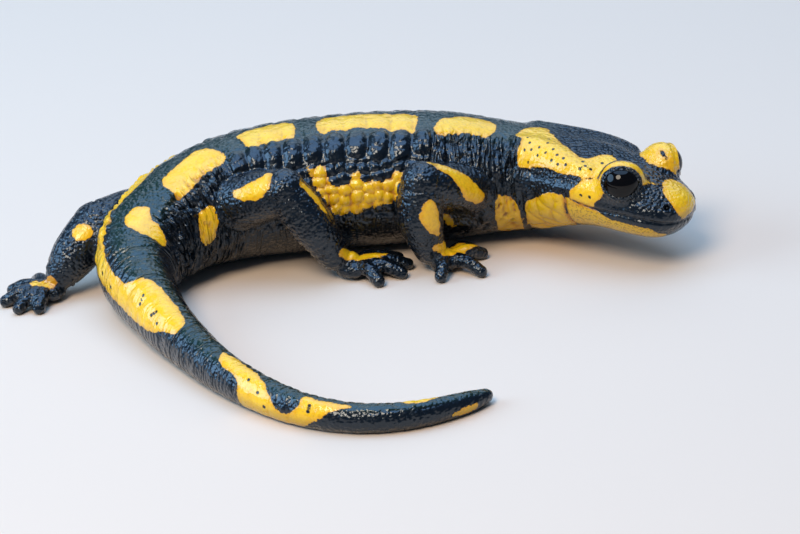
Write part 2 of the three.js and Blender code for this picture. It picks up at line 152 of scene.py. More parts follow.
# Length along the spine, angle, distance outside the surface and flat offset (right, up) of each point.
def bodyCoordinates(points):
    nearest = np.empty(len(points), int)
    batch = 20000
    for start in range(0, len(points), batch):
        part = points[start:start + batch, None, :2] - spine[None]
        nearest[start:start + batch] = np.argmin((part ** 2).sum(2), 1)
    offset = points[:, :2] - spine[nearest]
    length = np.clip(spineAt[nearest] + (offset * tailward[nearest]).sum(1), 0, body["length"])
    across = (offset * rightward[nearest]).sum(1)
    roll = np.radians(curve(body["roll"], length))
    up = points[:, 2] - body["rollAxis"]
    right = across * np.cos(roll) + up * np.sin(roll)
    halfWidth, halfHeight, middle, power = section(length)
    rise = body["rollAxis"] - across * np.sin(roll) + up * np.cos(roll) - middle
    x, y = right / halfWidth, rise / halfHeight
    share = np.maximum((np.abs(x) ** (2 / power) + np.abs(y) ** (2 / power)) ** (power / 2), 1e-6)
    angle = np.degrees(np.arctan2(signedPower(x / share, 1 / power), signedPower(y / share, 1 / power)))
    return length, angle, np.hypot(right, rise) * (1 - 1 / share), np.stack([right, rise], 1)


# The head's own axes, from the line between the snout and the back of the head.
snoutAxis = placed(0, 0, body["rollAxis"])
forward = snoutAxis - placed(body["headLength"], 0, body["rollAxis"])
forward /= np.linalg.norm(forward)
right = placed(0, 1, body["rollAxis"]) - snoutAxis
up = np.cross(right, forward)

eye = {"back": 9, "out": 5.75, "height": 14.4, "radius": 3.1, "forward": 32, "up": 12}


# Centre of an eye, then the directions across it, up it and the way it looks.
def eyeFrame(side):
    centre = placed(eye["back"], side * eye["out"], eye["height"])
    ahead, rise = math.radians(eye["forward"]), math.radians(eye["up"])
    level = side * math.cos(ahead) * right + math.sin(ahead) * forward
    look = math.cos(rise) * level + math.sin(rise) * up
    look /= np.linalg.norm(look)
    across = np.cross((0, 0, 1), look)
    across /= np.linalg.norm(across)
    return centre, across, np.cross(look, across), look


def addObject(name, data):
    made = bpy.data.objects.new(name, data)
    bpy.context.scene.collection.objects.link(made)
    return made


# The mesh of a bmesh that isn't needed after it.
def meshOf(bm, name):
    mesh = bpy.data.meshes.new(name)
    bm.to_mesh(mesh)
    bm.free()
    return mesh


# The frame's origin differs from the spine's by this much, read from the near eye.
low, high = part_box("eye_right")
shift = np.array((low + high) / 2) / mm - eyeFrame(1)[0]
print("shift", np.round(shift, 3))

view = {"elevation": 25, "roll": 4.5, "distance": 400, "focal": 2400, "anchor": (400, 234),
        "size": (800, 534), "sensor": 36}


def addCamera():
    tilt, roll = math.radians(view["elevation"]), math.radians(view["roll"])
    back = np.array([0, -math.cos(tilt), math.sin(tilt)])
    upright = np.array([0, math.sin(tilt), math.cos(tilt)])
    sideways = np.array([1.0, 0, 0])
    camRight = math.cos(roll) * sideways - math.sin(roll) * upright
    camUp = math.cos(roll) * upright + math.sin(roll) * sideways
    perPixel = view["distance"] / view["focal"]
    x = (view["anchor"][0] - view["size"][0] / 2) * perPixel
    y = (view["size"][1] / 2 - view["anchor"][1]) * perPixel
    place = (shift * (1, 1, 0) - x * camRight - y * camUp + view["distance"] * back) * mm
    data = bpy.data.cameras.new("camera")
    data.sensor_width = view["sensor"]
    data.lens = view["focal"] / view["size"][0] * view["sensor"]
    data.clip_start = 0.01
    camera = addObject("camera", data)
    axes = Matrix((camRight, camUp, back)).transposed()
    camera.matrix_world = Matrix.Translation(place) @ axes.to_4x4()
    bpy.context.scene.camera = camera


# A hex colour as the linear values that the nodes take.
def srgb(code):
    parts = [int(code[i:i + 2], 16) / 255 for i in (1, 3, 5)]
    return [p / 12.92 if p <= 0.04045 else ((p + 0.055) / 1.055) ** 2.4 for p in parts] + [1]


def newMaterial(name):
    material = bpy.data.materials.new(name)
    material.use_nodes = True
    material.node_tree.nodes.clear()
    return material, material.node_tree


# Adds a node with its settings, and inputs that are values or other nodes' outputs. Gives one output back.
def addNode(tree, kind, inputs, output=0, **settings):
    node = tree.nodes.new("ShaderNode" + kind)
    for key, value in settings.items():
        setattr(node, key, value)
    for key, value in inputs.items():
        if isinstance(value, bpy.types.NodeSocket):
            tree.links.new(value, node.inputs[key])
        else:
            node.inputs[key].default_value = value
    return node.outputs[output] if node.outputs else None


# The floor's half size and how far it lies under the feet, in metres, and the sky's colour and strength.
room = {"floorHalf": 1.5, "floorDrop": 0.00003, "floor": "#DEC9B6",
        "sky": (0.34, 0.60, 1.0, 1), "skyStrength": 0.18}
# Each light's place, the height it is aimed at, its size, power and colour, in metres and watts.
lights = {
    "window": ((-0.18, -0.34, 0.52), 0, (0.30, 0.30), 2.9, (1.0, 0.87, 0.70)),
    "sky panel": ((0.02, 0.06, 0.60), 0, (0.8, 0.6), 4.0, (0.35, 0.60, 1.0)),
    "skylight": ((0.08, 0.50, 0.42), 0.01, (0.9, 0.4), 1.2, (0.60, 0.76, 0.95)),
    "left panel": ((-0.52, -0.02, 0.30), 0.01, (0.50, 0.40), 2.8, (0.38, 0.66, 1.0)),
}


def addRoom():
    bm = bmesh.new()
    bmesh.ops.create_grid(bm, x_segments=1, y_segments=1, size=room["floorHalf"])
    floor = addObject("floor", meshOf(bm, "floor"))
    floor.location.z = -room["floorDrop"]
    material, tree = newMaterial("pale paper")
    surface = addNode(tree, "BsdfPrincipled", {"Base Color": srgb(room["floor"]), "Roughness": 0.9})
    addNode(tree, "OutputMaterial", {"Surface": surface})
    floor.data.materials.append(material)
    world = bpy.data.worlds.new("studio")
    world.use_nodes = True
    sky = world.node_tree.nodes["Background"]
    sky.inputs["Color"].default_value = room["sky"]
    sky.inputs["Strength"].default_value = room["skyStrength"]
    bpy.context.scene.world = world
    bpy.context.scene.view_settings.view_transform = "Standard"
    for name, (place, aim, size, power, colour) in lights.items():
        data = bpy.data.lights.new(name, "AREA")
        data.shape = "ELLIPSE"
        data.size, data.size_y = size
        data.energy = power
        data.color = colour
        lamp = addObject(name, data)
        lamp.location = place
        lamp.rotation_euler = (Vector((0, 0, aim)) - Vector(place)).to_track_quat("-Z", "Y").to_euler()


addCamera()
addRoom()
print("camera, floor and light")

# Joints and radii of each leg, from inside the body to the wrist or ankle, then the palm and the toe tips.
legs = {
    "rightFore": {
        "joints": [(15.5, -5, 8.5), (9.8, -11.2, 12.2), (4.2, -14.3, 15), (3.4, -15, 9.5), (4.6, -14.8, 3.6)],
        "radii": [3.9, 3.6, 3.5, 3.7, 2.6], "palm": (7.2, -14.9, 1.55), "palmSize": (3.4, 3.0, 1.7),
        "tips": [(11.2, -9.9), (13.0, -12.2), (12.4, -19.0), (5.9, -19.8)]},
    "leftFore": {
        "joints": [(15.5, 4, 8), (13, 9.9, 9.6), (11.4, 14.6, 10.2), (14.8, 17, 7), (18.4, 17.9, 3.4)],
        "radii": [3.9, 3.5, 3.35, 3.4, 2.5], "palm": (21.2, 17.8, 1.55), "palmSize": (3.4, 3.0, 1.7),
        "tips": [(24.8, 13.4), (28, 15.8), (28, 19.6), (24, 23)]},
    "rightHind": {
        "joints": [(-30, -5.5, 8.6), (-25, -11.2, 12.8), (-17.8, -14.1, 15.4), (-13.4, -15.2, 8.8),
                   (-10.8, -14.9, 3.9)],
        "radii": [4.9, 4.4, 3.65, 3.5, 2.5], "palm": (-7.4, -14.6, 1.6), "palmSize": (3.9, 3.2, 1.75),
        "tips": [(-3.9, -10.6), (-0.6, -11.4), (0.9, -14), (-0.2, -17.2), (-4, -19.6)]},
    "leftHind": {
        "joints": [(-33, -2.6, 8.2), (-41, -4.8, 9.5), (-48.8, -8.5, 9.4), (-52.2, -11.6, 6.5),
                   (-54.9, -13.6, 3.7)],
        "radii": [4.8, 4.6, 4.1, 3.8, 2.7], "palm": (-57.2, -14.5, 1.6), "palmSize": (3.7, 3.2, 1.75),
        "tips": [(-58.2, -19.7), (-61.5, -19.2), (-63.9, -16.1), (-63.2, -12.1), (-59.6, -9.1)]},
}
toe = {"root": 1.45, "middle": 1.15, "tip": 1.02, "tipHeight": 0.9, "knuckleShare": 0.6, "knuckleHeight": 2.0}
heel = {"middle": 2, "end": 1.5}


# Points and radii along a smooth path through a few of them.
def smoothPath(points, radii, count):
    points = np.array(points, float)
    reach = np.concatenate([[0], np.cumsum(np.linalg.norm(np.diff(points, axis=0), axis=1))])
    at = np.linspace(0, reach[-1], count)
    columns = [curve(list(zip(reach, column)), at) for column in (*points.T, np.array(radii, float))]
    return np.stack(columns, 1)


# The upper and the lower length of a leg, as points with radii.
def legPaths(leg):
    joints, radii = leg["joints"], leg["radii"]
    return [smoothPath(joints[0:3], radii[0:3], 22), smoothPath(joints[2:5], radii[2:5], 22)]


def toePaths(leg):
    paths = []
    for tip in leg["tips"]:
        palm = np.array(leg["palm"])
        end = np.array([*tip, toe["tipHeight"]])
        knuckle = palm + toe["knuckleShare"] * (end - palm)
        knuckle[2] = toe["knuckleHeight"]
        paths.append(smoothPath([palm, knuckle, end], [toe["root"], toe["middle"], toe["tip"]], 16))
    return paths


# The skin's rough form, in millimetres. Swollen copies close the gaps between the nodes.
skin = {"voxel": 0.625, "swell": 0.25, "limbSwell": 0.02, "overEye": 0.2}


# One ball of each fineness, by its segments round.
def unitBall(segments):
    bm = bmesh.new()
    bmesh.ops.create_uvsphere(bm, u_segments=segments, v_segments=segments // 2 + 2, radius=1)
    return meshOf(bm, "ball")


balls = {segments: unitBall(segments) for segments in (12, 20, 32)}


# Balls along a path, close enough together to read as one smooth tube.
def addBalls(bm, path, extra, segments):
    for row in path:
        size = np.broadcast_to(np.array(row[3:]) + extra, 3)
        ball = balls[segments].copy()
        ball.transform(Matrix.Translation(row[:3]) @ Matrix.Diagonal((*size, 1)))
        bm.from_mesh(ball)
        bpy.data.meshes.remove(ball)


def addLimb(bm, leg):
    wrist, palm = np.array(leg["joints"][4]), np.array(leg["palm"])
    heelRadii = [leg["radii"][4], heel["middle"], heel["end"]]
    heelPath = smoothPath([wrist, (wrist + palm) / 2, palm], heelRadii, 8)
    for path in legPaths(leg) + [heelPath, [(*palm, *leg["palmSize"])]]:
        addBalls(bm, path, skin["limbSwell"], 20)
    for path in toePaths(leg):
        addBalls(bm, path, skin["limbSwell"], 12)


# A copy of a node's mesh, welded and a little swollen.
def addSwollen(bm, mesh):
    piece = bmesh.new()
    piece.from_mesh(mesh)
    bmesh.ops.remove_doubles(piece, verts=piece.verts, dist=1e-6)
    bmesh.ops.recalc_face_normals(piece, faces=piece.faces)
    piece.normal_update()
    for v in piece.verts:
        v.co = v.co / mm + v.normal * skin["swell"] - Vector(shift)
    swollen = meshOf(piece, "swollen")
    bm.from_mesh(swollen)
    bpy.data.meshes.remove(swollen)


# All the flesh as one closed surface: a remesh joins the limbs' balls and the swollen copies.
def roughSkin():
    bm = bmesh.new()
    for leg in legs.values():
        addLimb(bm, leg)
    for side in (1, -1):
        addBalls(bm, [(*eyeFrame(side)[0], eye["radius"] + skin["overEye"])], skin["swell"], 32)
    for name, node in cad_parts.items():
        if not (name.startswith("eye") or "leg" in name):
            addSwollen(bm, node.data)
    rough = addObject("rough", meshOf(bm, "rough"))
    remesh = rough.modifiers.new("remesh", "REMESH")
    remesh.mode = "VOXEL"
    remesh.voxel_size = skin["voxel"]
    joined = bpy.data.meshes.new_from_object(rough.evaluated_get(bpy.context.evaluated_depsgraph_get()))
    bpy.data.objects.remove(rough)
    return joined


def pointsOf(mesh):
    points = np.empty(len(mesh.vertices) * 3)
    mesh.vertices.foreach_get("co", points)
    return points.reshape(-1, 3)


def setPoints(mesh, points):
    mesh.vertices.foreach_set("co", points.ravel())
    mesh.update()


def normalsOf(mesh):
    normals = np.empty(len(mesh.vertices) * 3, np.float32)
    mesh.vertex_normals.foreach_get("vector", normals)
    return normals.reshape(-1, 3).astype(float)


def edgesOf(mesh):
    edges = np.empty(len(mesh.edges) * 2, int)
    mesh.edges.foreach_get("vertices", edges)
    return edges.reshape(-1, 2)


# Evens the surface out. Every second pass pushes back out, so that thin parts don't shrink.
def smoothed(points, edges, rounds, weight=1.0, keepVolume=True):
    count = np.bincount(edges.ravel(), minlength=len(points)).clip(1)[:, None]
    weight = np.broadcast_to(weight, len(points))[:, None]
    passes = [0.5, -0.52] if keepVolume else [0.5]
    for factor in passes * rounds:
        total = np.stack([np.bincount(edges[:, 0], column[edges[:, 1]], len(points))
                          + np.bincount(edges[:, 1], column[edges[:, 0]], len(points))
                          for column in points.T], 1)
        points = points + factor * weight * (total / count - points)
    return points


# For each point: distance outside a path's tube, length along it to the nearest place, and the way out.
def toPath(points, path):
    reach = np.concatenate([[0], np.cumsum(np.linalg.norm(np.diff(path[:, :3], axis=0), axis=1))])
    best, at, way = np.full(len(points), 1e3), np.zeros(len(points)), np.zeros((len(points), 3))
    near = np.flatnonzero(np.abs(points - path[:, :3].mean(0)).max(1) < reach[-1] + 8)
    part = points[near]
    for a, b, start, end in zip(path[:-1], path[1:], reach[:-1], reach[1:]):
        line = b[:3] - a[:3]
        t = np.clip((part - a[:3]) @ line / max(line @ line, 1e-9), 0, 1)
        off = part - a[:3] - t[:, None] * line
        size = np.linalg.norm(off, axis=1)
        gone = size - (a[3] + (b[3] - a[3]) * t)
        closer = np.flatnonzero(gone < best[near])
        chosen = near[closer]
        best[chosen] = gone[closer]
        at[chosen] = start + t[closer] * (end - start)
        way[chosen] = off[closer] / np.maximum(size[closer], 1e-6)[:, None]
    return best, at, way


def pathLength(path):
    return np.linalg.norm(np.diff(path[:, :3], axis=0), axis=1).sum()


# Where each point lies on the body and on the nearest limb: lengths along them, distances outside them.
def places(points):
    length, angle, bodyGone, offset = bodyCoordinates(points)
    limbGone, number, along = np.full(len(points), 1e3), np.zeros(len(points), int), np.zeros(len(points))
    way = np.zeros((len(points), 3))
    for i, leg in enumerate(legs.values()):
        upper, lower = legPaths(leg)
        elbow, wrist = pathLength(upper), pathLength(upper) + pathLength(lower)
        for path, start in [(upper, 0), (lower, elbow)] + [(path, wrist) for path in toePaths(leg)]:
            gone, at, out = toPath(points, path)
            closer = gone < limbGone
            limbGone[closer], number[closer], along[closer] = gone[closer], i, start + at[closer]
            way[closer] = out[closer]
    return {"length": length, "angle": angle, "bodyGone": bodyGone, "offset": offset, "limbGone": limbGone,
            "number": number, "along": along, "way": way}


# Draws points on to the body's sections or the limbs' tubes, and leaves the joins to the smoothing.
def toSmoothForm(points, at):
    length, gone, offset, limbGone = at["length"], at["bodyGone"], at["offset"], at["limbGone"]
    weight = (1 - ramp(np.abs(gone), 0.9, 1.4)) * ramp(limbGone - gone, 0.0, 0.8)
    weight *= between(length, 3.0, 6.0, 180.0, 183.0)
    for side in (1, -1):
        weight *= ramp(np.linalg.norm(points - eyeFrame(side)[0], axis=1), 4.1, 5.2)
    size = np.maximum(np.linalg.norm(offset, axis=1), 1e-6)
    moved = offset * (1 - gone * weight / size)[:, None]
    target = placed(length, moved[:, 0], moved[:, 1] + section(length)[2])
    points = np.where(weight[:, None] > 1e-3, target, points)
    pull = (1 - ramp(np.abs(limbGone), 0.25, 0.5)) * ramp(gone - limbGone, 0.8, 2.0)
    return points - at["way"] * (pull * limbGone)[:, None]


# Cuts every edge of the faces with a chosen point in two.
def refine(mesh, chosen):
    bm = bmesh.new()
    bm.from_mesh(mesh)
    faces = [f for f in bm.faces if any(chosen[v.index] for v in f.verts)]
    edges = list({e for f in faces for e in f.edges})
    bmesh.ops.subdivide_edges(bm, edges=edges, cuts=1, use_grid_fill=True)
    bm.to_mesh(mesh)
    bm.free()


lid = {"halfLength": 2.8, "halfHeight": 2.25, "ball": 3.25, "rim": 3.2, "inside": 2.45, "arc": 3.4,
       "near": 5.2, "foldAt": 0.42, "foldWidth": 0.28, "upperFold": 0.24, "lowerFold": 0.12, "reach": 1.7}
mouth = {"line": [(-2, 8.2), (1.5, 8.5), (4, 9.1), (7, 9.5), (11, 9.7), (14.5, 10.2), (17.5, 11.0)],
         "width": 0.27, "depth": 0.36, "corner": 16.8, "lip": 0.08, "top": 14}
nostril = {"back": 1.7, "out": 3.9, "height": 11.2, "radius": 0.42, "depth": 0.55, "rim": 0.12}


# Millimetres outside the rim between the lids, the way round the eye and the distance from its centre.
def lidCoordinates(points, side):
    centre, across, upright, look = eyeFrame(side)
    rel = points - centre
    distance = np.linalg.norm(rel, axis=1)
    unit = rel / np.maximum(distance, 1e-6)[:, None]
    way = np.arctan2(unit @ upright, unit @ across * -side)
    rimX, rimY = lid["halfLength"] / lid["ball"], lid["halfHeight"] / lid["ball"]
    rimSine = 1 / np.sqrt((np.cos(way) / rimX) ** 2 + (np.sin(way) / rimY) ** 2)
    fromLook = np.arccos(np.clip(unit @ look, -1, 1))
    return (fromLook - np.arcsin(np.clip(rimSine, 0, 0.999))) * lid["arc"], way, distance


def shapeLids(points):
    for side in (1, -1):
        centre, _, _, look = eyeFrame(side)
        outside, way, distance = lidCoordinates(points, side)
        near = (distance < lid["near"]) & (outside < lid["reach"] + 0.3)
        unit = (points - centre) / np.maximum(distance, 1e-6)[:, None]
        # The rim's points are drawn on to the rim itself, so that its edge is clean.
        onRim = near & (np.abs(outside) < 0.11)
        axis = np.cross(unit, look)
        axis /= np.maximum(np.linalg.norm(axis, axis=1), 1e-6)[:, None]
        turn = np.where(onRim, outside / lid["arc"], 0)[:, None]
        unit = unit * np.cos(turn) + np.cross(axis, unit) * np.sin(turn)
        outside = np.where(onRim, 0, outside)
        upper = ramp(np.sin(way), -0.2, 0.4)
        fold = lid["lowerFold"] + (lid["upperFold"] - lid["lowerFold"]) * upper
        radius = lid["rim"] + (distance - lid["rim"]) * ramp(outside, 0, lid["reach"])
        radius += fold * ridge(outside - lid["foldAt"], lid["foldWidth"]) * ramp(outside, 0, 0.25)
        radius -= 0.5 * fold * ridge(outside - 1.25, 0.25)
        radius = np.where(outside < 0, np.maximum(lid["inside"], lid["rim"] + outside * 3.5), radius)
        points = np.where(near[:, None], centre + unit * radius[:, None], points)
    return points


# Distance back from the snout, to the right, height, and height above the line of the mouth.
def headPlace(points):
    rel = points - snoutAxis
    back, height = -rel @ forward, rel @ up + body["rollAxis"]
    return back, rel @ right, height, height - curve(mouth["line"], back)


def fromHead(back, out, height):
    return snoutAxis - back * forward + out * right + (height - body["rollAxis"]) * up


def mouthFade(back):
    return 1 - ramp(back, mouth["corner"] - 1.6, mouth["corner"] + 1.0)


def nostrilCentre(side):
    return placed(nostril["back"], side * nostril["out"], nostril["height"])


def shapeMouth(points, normals):
    back, _, height, lift = headPlace(points)
    near = (back < mouth["corner"] + 3) & (height < mouth["top"]) & (height > 4)
    # The line's points are drawn on to it, so that its edge is clean.
    snap = near & (np.abs(lift) < 0.1) & (back < mouth["corner"])
    points = points - np.where(snap, lift, 0)[:, None] * up
    lift = np.where(snap, 0, lift)
    inward = mouth["depth"] * ridge(lift, mouth["width"]) - mouth["lip"] * ridge(lift - 0.7, 0.4)
    points = points - normals * (inward * np.where(near, mouthFade(back), 0))[:, None]
    for side in (1, -1):
        away = points - nostrilCentre(side)
        flat = away - (away * normals).sum(1)[:, None] * normals
        gone = np.linalg.norm(flat, axis=1)
        pit = nostril["depth"] * (1 - ramp(gone, 0.5 * nostril["radius"], 1.35 * nostril["radius"]))
        pit -= nostril["rim"] * ridge(gone - 1.7 * nostril["radius"], 0.22)
        points = points - normals * np.where(np.linalg.norm(away, axis=1) < 2, pit, 0)[:, None]
    return points


# Scattered centres, one in each unit square: distances to the nearest and the next, and the nearest's place.
def cells(u, v, jitter, seed):
    first, second = np.full(u.shape, 9.0), np.full(u.shape, 9.0)
    nearU, nearV = u.copy(), v.copy()
    for du in (-1, 0, 1):
        for dv in (-1, 0, 1):
            a, b = np.floor(u) + du, np.floor(v) + dv
            h = np.sin(a * 127.1 + b * 311.7 + seed * 74.7) * 43758.5453
            g = np.sin(a * 269.5 + b * 183.3 + seed * 11.3) * 43758.5453
            x = a + 0.5 + jitter * (h - np.floor(h) - 0.5)
            y = b + 0.5 + jitter * (g - np.floor(g) - 0.5)
            gone = np.hypot(u - x, v - y)
            second = np.minimum(second, np.maximum(first, gone))
            closer = gone < first
            first = np.where(closer, gone, first)
            nearU, nearV = np.where(closer, x, nearU), np.where(closer, y, nearV)
    return first, second, nearU, nearV


# Rounded cushions on scattered centres, 0 in the grooves between them and 1 on top.
def pillows(cell, dome=0.5):
    first, second = cell[:2]
    return (1 - np.exp(-np.maximum(second - first, 0) / 0.16)) * (1 - dome * np.minimum(first / 0.7, 1) ** 2)


# Smooth noise between about -1 and 1, with features of a size in millimetres.
def wobble(points, size, seed):
    move = Vector((seed * 13.7, seed * 7.1, seed * 3.3))
    return np.array([noise.noise(Vector(p) / size + move) for p in points])


# Folds, glands and bumps of the skin. Ranges along and round the body are where each one starts, is full,
# begins to fade and ends, in millimetres along and in degrees round.
costal = {"from": 49.4, "pitch": 3.66, "along": (44.2, 46.2, 81.3, 84.3), "middle": 45, "half": 14.5,
          "height": 0.95, "lump": 0.28, "upperSeam": (2, 10, 28, 34), "upperDepth": 0.24,
          "lowerSeam": (56, 62, 100, 120), "lowerDepth": 0.22}
tubercle = {"length": 1.95, "around": 1.75, "jitter": 0.6, "sway": 0.35, "swayRound": 0.2, "height": 0.68,
            "sink": 0.3, "round": (56.5, 62.5, 106, 120)}
wart = {"size": 1.5, "height": 0.17, "along": (30, 40, 170, 178), "from": 30, "to": 42}
wrinkle = {"shoulder": (28.8, 30.5, 44.5, 47), "shoulderRound": (24, 40, 130, 150),
           "hip": (81.5, 84.5, 98, 108), "hipRound": (26, 40, 130, 150), "hipShare": 1.25,
           "calm": (86.5, 88.5, 93.5, 95), "calmRound": (60, 68, 102, 110), "calmShare": 0.65,
           "fine": (1.3, 4.2), "fineHeight": 0.75, "deep": (2.9, 7.0), "deepHeight": 0.5, "floor": 0.6}
gland = {"line": [(30, 33, 2.6), (27.5, 36, 3.3), (24, 38, 3.2), (20.5, 42, 2.6), (17.5, 46, 2),
                  (15, 45, 1.5)],
         "height": 0.9, "cheek": [(16, 76, 1.5), (12, 74, 1.2)], "cheekHeight": 0.32}
throat = {"fold": 28.3, "foldDepth": 0.55, "jaw": 17.5, "jawDepth": 0.38, "loose": (18, 19.5, 26.5, 28),
          "under": (84, 92, 150, 170), "lobe": 0.42}
tailRing = {"pitch": 3.6, "depth": 0.10, "along": (96, 104, 172, 180)}
creases = {"Fore": [7.4, 8.5, 9.6, -0.9, 0.6], "Hind": [8.6, 9.8, 10.9, -0.9, 0.6], "depth": 0.26}


# A stroke on the body as points in space with radii, from (length, angle, half width) triples.
def strokePoints(stroke, flip=1):
    stroke = np.array(stroke, float)
    at = np.linspace(0, len(stroke) - 1, 4 * (len(stroke) - 1) + 1)
    values = [np.interp(at, np.arange(len(stroke)), column) for column in stroke.T]
    return np.column_stack([onBody(values[0], flip * values[1]), values[2]])


# The skin rolled out flat: length along the spine and distance round from the back's middle.
def flatPlace(length, angle):
    return length, np.radians(angle) * meanRadius(length)


def tuberclesAt(length, around, drift):
    u = (length + tubercle["sway"] * drift) / tubercle["length"]
    v = around / tubercle["around"] + tubercle["swayRound"] * drift
    return cells(u, v, tubercle["jitter"], 3)


# Height of the skin's folds and bumps above its smooth form.
def reliefOf(points, at):
    length, angle = at["length"], at["angle"]
    side, around = np.abs(angle), flatPlace(length, angle)[1]
    drift, fine = wobble(points, 4.0, 1), wobble(points, 1.5, 2)

    # costal lobes, each a lumpy cushion between two grooves
    trunk = between(length, *costal["along"])
    wave = (length - costal["from"] + 0.25 * drift + 0.3 * np.sin(np.radians(side * 4))) / costal["pitch"]
    across = (wave - np.floor(wave) - 0.5) * 2
    varied = np.sin(np.floor(wave) * 2.4 + np.sign(angle))
    down = (side + 3 * drift - costal["middle"] - 1.5 * varied) / (costal["half"] + varied)
    egg = np.clip(1 - np.abs(across) ** 2.4 - np.abs(down) ** 2.6, 0, 1) ** 0.75
    lump = pillows(cells(length / 1.9 + 0.25 * fine, around / 1.8 + 0.2 * drift, 0.9, 4), 0.9) - 0.5
    height = trunk * egg * (costal["height"] + 0.08 * varied + costal["lump"] * lump + 0.05 * fine)
    seams = costal["upperDepth"] * between(side, *costal["upperSeam"])
    seams += costal["lowerDepth"] * between(side, *costal["lowerSeam"])
    height -= trunk * ridge(1 - np.abs(across), 0.22) * seams

    # smaller rounded tubercles low on the flank
    low = between(side, *tubercle["round"]) * trunk
    height += low * (tubercle["height"] * pillows(tuberclesAt(length, around, drift)) - tubercle["sink"])

    # the back's small warts
    back = (1 - ramp(side, wart["from"], wart["to"])) * between(length, *wart["along"])
    height += back * wart["height"] * pillows(cells(length / wart["size"], around / wart["size"], 0.8, 5))

    # shoulders, hips and neck: long upright wrinkles, with a few deeper folds
    wrinkled = between(length, *wrinkle["shoulder"]) * between(side, *wrinkle["shoulderRound"])
    wrinkled += wrinkle["hipShare"] * between(length, *wrinkle["hip"]) * between(side, *wrinkle["hipRound"])
    calm = between(length, *wrinkle["calm"]) * between(angle, *wrinkle["calmRound"])
    wrinkled *= 1 - wrinkle["calmShare"] * calm
    slant = length + 0.04 * (side - 60) + 0.45 * drift + 0.3 * fine
    wide, long = wrinkle["fine"]
    folds = wrinkle["fineHeight"] * (pillows(cells(slant / wide, around / long + 0.3 * fine, 0.95, 6), 0.25)
                                     - wrinkle["floor"])
    wide, long = wrinkle["deep"]
    folds += wrinkle["deepHeight"] * (pillows(cells(slant / wide + 0.3 * drift, around / long, 0.9, 7), 0.3)
                                      - wrinkle["floor"])
    height += wrinkled * folds

    # swollen gland behind each eye, and the cheek below it
    for flip in (1, -1):
        into = toPath(points, strokePoints(gland["line"], flip))[0]
        height += gland["height"] * (1 - ramp(into, -2.4, 0.7)) * ramp(length, 12.5, 15)
        height -= 0.16 * ridge(into - 0.8, 0.35) * ramp(length, 14, 18) * ramp(side, 36, 46)
        cheek = toPath(points, strokePoints(gland["cheek"], flip))[0]
        height += gland["cheekHeight"] * (1 - ramp(cheek, -1.2, 1.8))
        height -= 0.12 * ridge(cheek - 1.3, 0.4) * between(length, 13.5, 15, 18, 19)

    # throat: a fold behind the jaw, a deep one across, and loose lobes between
    below = ramp(side, 86, 96)
    height -= throat["foldDepth"] * ridge(length - throat["fold"] - 0.25 * drift, 0.34) * below
    height += 0.2 * ridge(length - throat["fold"] - 1.1, 0.7) * below
    behindJaw = ridge(length - throat["jaw"] - 0.15 * drift, 0.3) * between(side, 86, 93, 150, 170)
    height -= throat["jawDepth"] * behindJaw
    slant = length + 0.04 * (side - 90)
    lobes = pillows(cells(slant / 2.6 + 0.35 * fine, around / 3.4 + 0.4 * drift, 0.9, 8), 0.3)
    loose = between(length, *throat["loose"]) * between(side, *throat["under"])
    height += loose * (throat["lobe"] * lobes - 0.2)

    # shallow rings on the tail, fainter where it is thin
    ring = (length + 0.3 * drift) / tailRing["pitch"]
    groove = ridge(np.abs(ring - np.round(ring)) * tailRing["pitch"], 0.5)
    strength = between(length, *tailRing["along"]) * np.clip(meanRadius(length) / 5, 0.3, 1)
    height -= tailRing["depth"] * strength * groove

    # legs: low flesh, with creases round the wrists and ankles, the elbows and the knees
    onLimb = 0.09 * drift
    for i, (name, leg) in enumerate(legs.items()):
        elbow = pathLength(legPaths(leg)[0])
        for crease in creases[name[-4:]]:
            cut = ridge(at["along"] - elbow - crease - 0.25 * drift, 0.22) * (1 + 0.4 * drift)
            onLimb = onLimb - np.where(at["number"] == i, creases["depth"] * cut, 0)
    isBody = ramp(at["limbGone"] - np.abs(at["bodyGone"]), -0.2, 0.6)
    return height * isBody + onLimb * (1 - isBody)


# Where the skin has finer faces, and how near to an edge of the head it has the finest.
finer = {"head": 25, "flank": (26, 101), "flankRound": (28, 106), "foot": 2, "lid": 0.75, "nostril": 1.0,
         "mouth": 0.45}


def onFinerPlaces(points, at):
    length, side = at["length"], np.abs(at["angle"])
    flank = (at["bodyGone"] < 1.2) & (length > finer["flank"][0]) & (length < finer["flank"][1])
    flank &= (side > finer["flankRound"][0]) & (side < finer["flankRound"][1])
    wrist = np.array([sum(map(pathLength, legPaths(leg))) for leg in legs.values()])
    foot = (at["along"] > wrist[at["number"]] - finer["foot"]) & (at["limbGone"] < at["bodyGone"])
    return (headPlace(points)[0] < finer["head"]) | flank | (foot & (points[:, 1] < 0))


def onHeadEdges(points):
    back, _, _, lift = headPlace(points)
    chosen = (np.abs(lift) < finer["mouth"]) & (back < mouth["corner"] + 1)
    for side in (1, -1):
        outside, _, distance = lidCoordinates(points, side)
        chosen |= (np.abs(outside) < finer["lid"]) & (distance < 4.6)
        chosen |= np.linalg.norm(points - nostrilCentre(side), axis=1) < finer["nostril"]
    return chosen


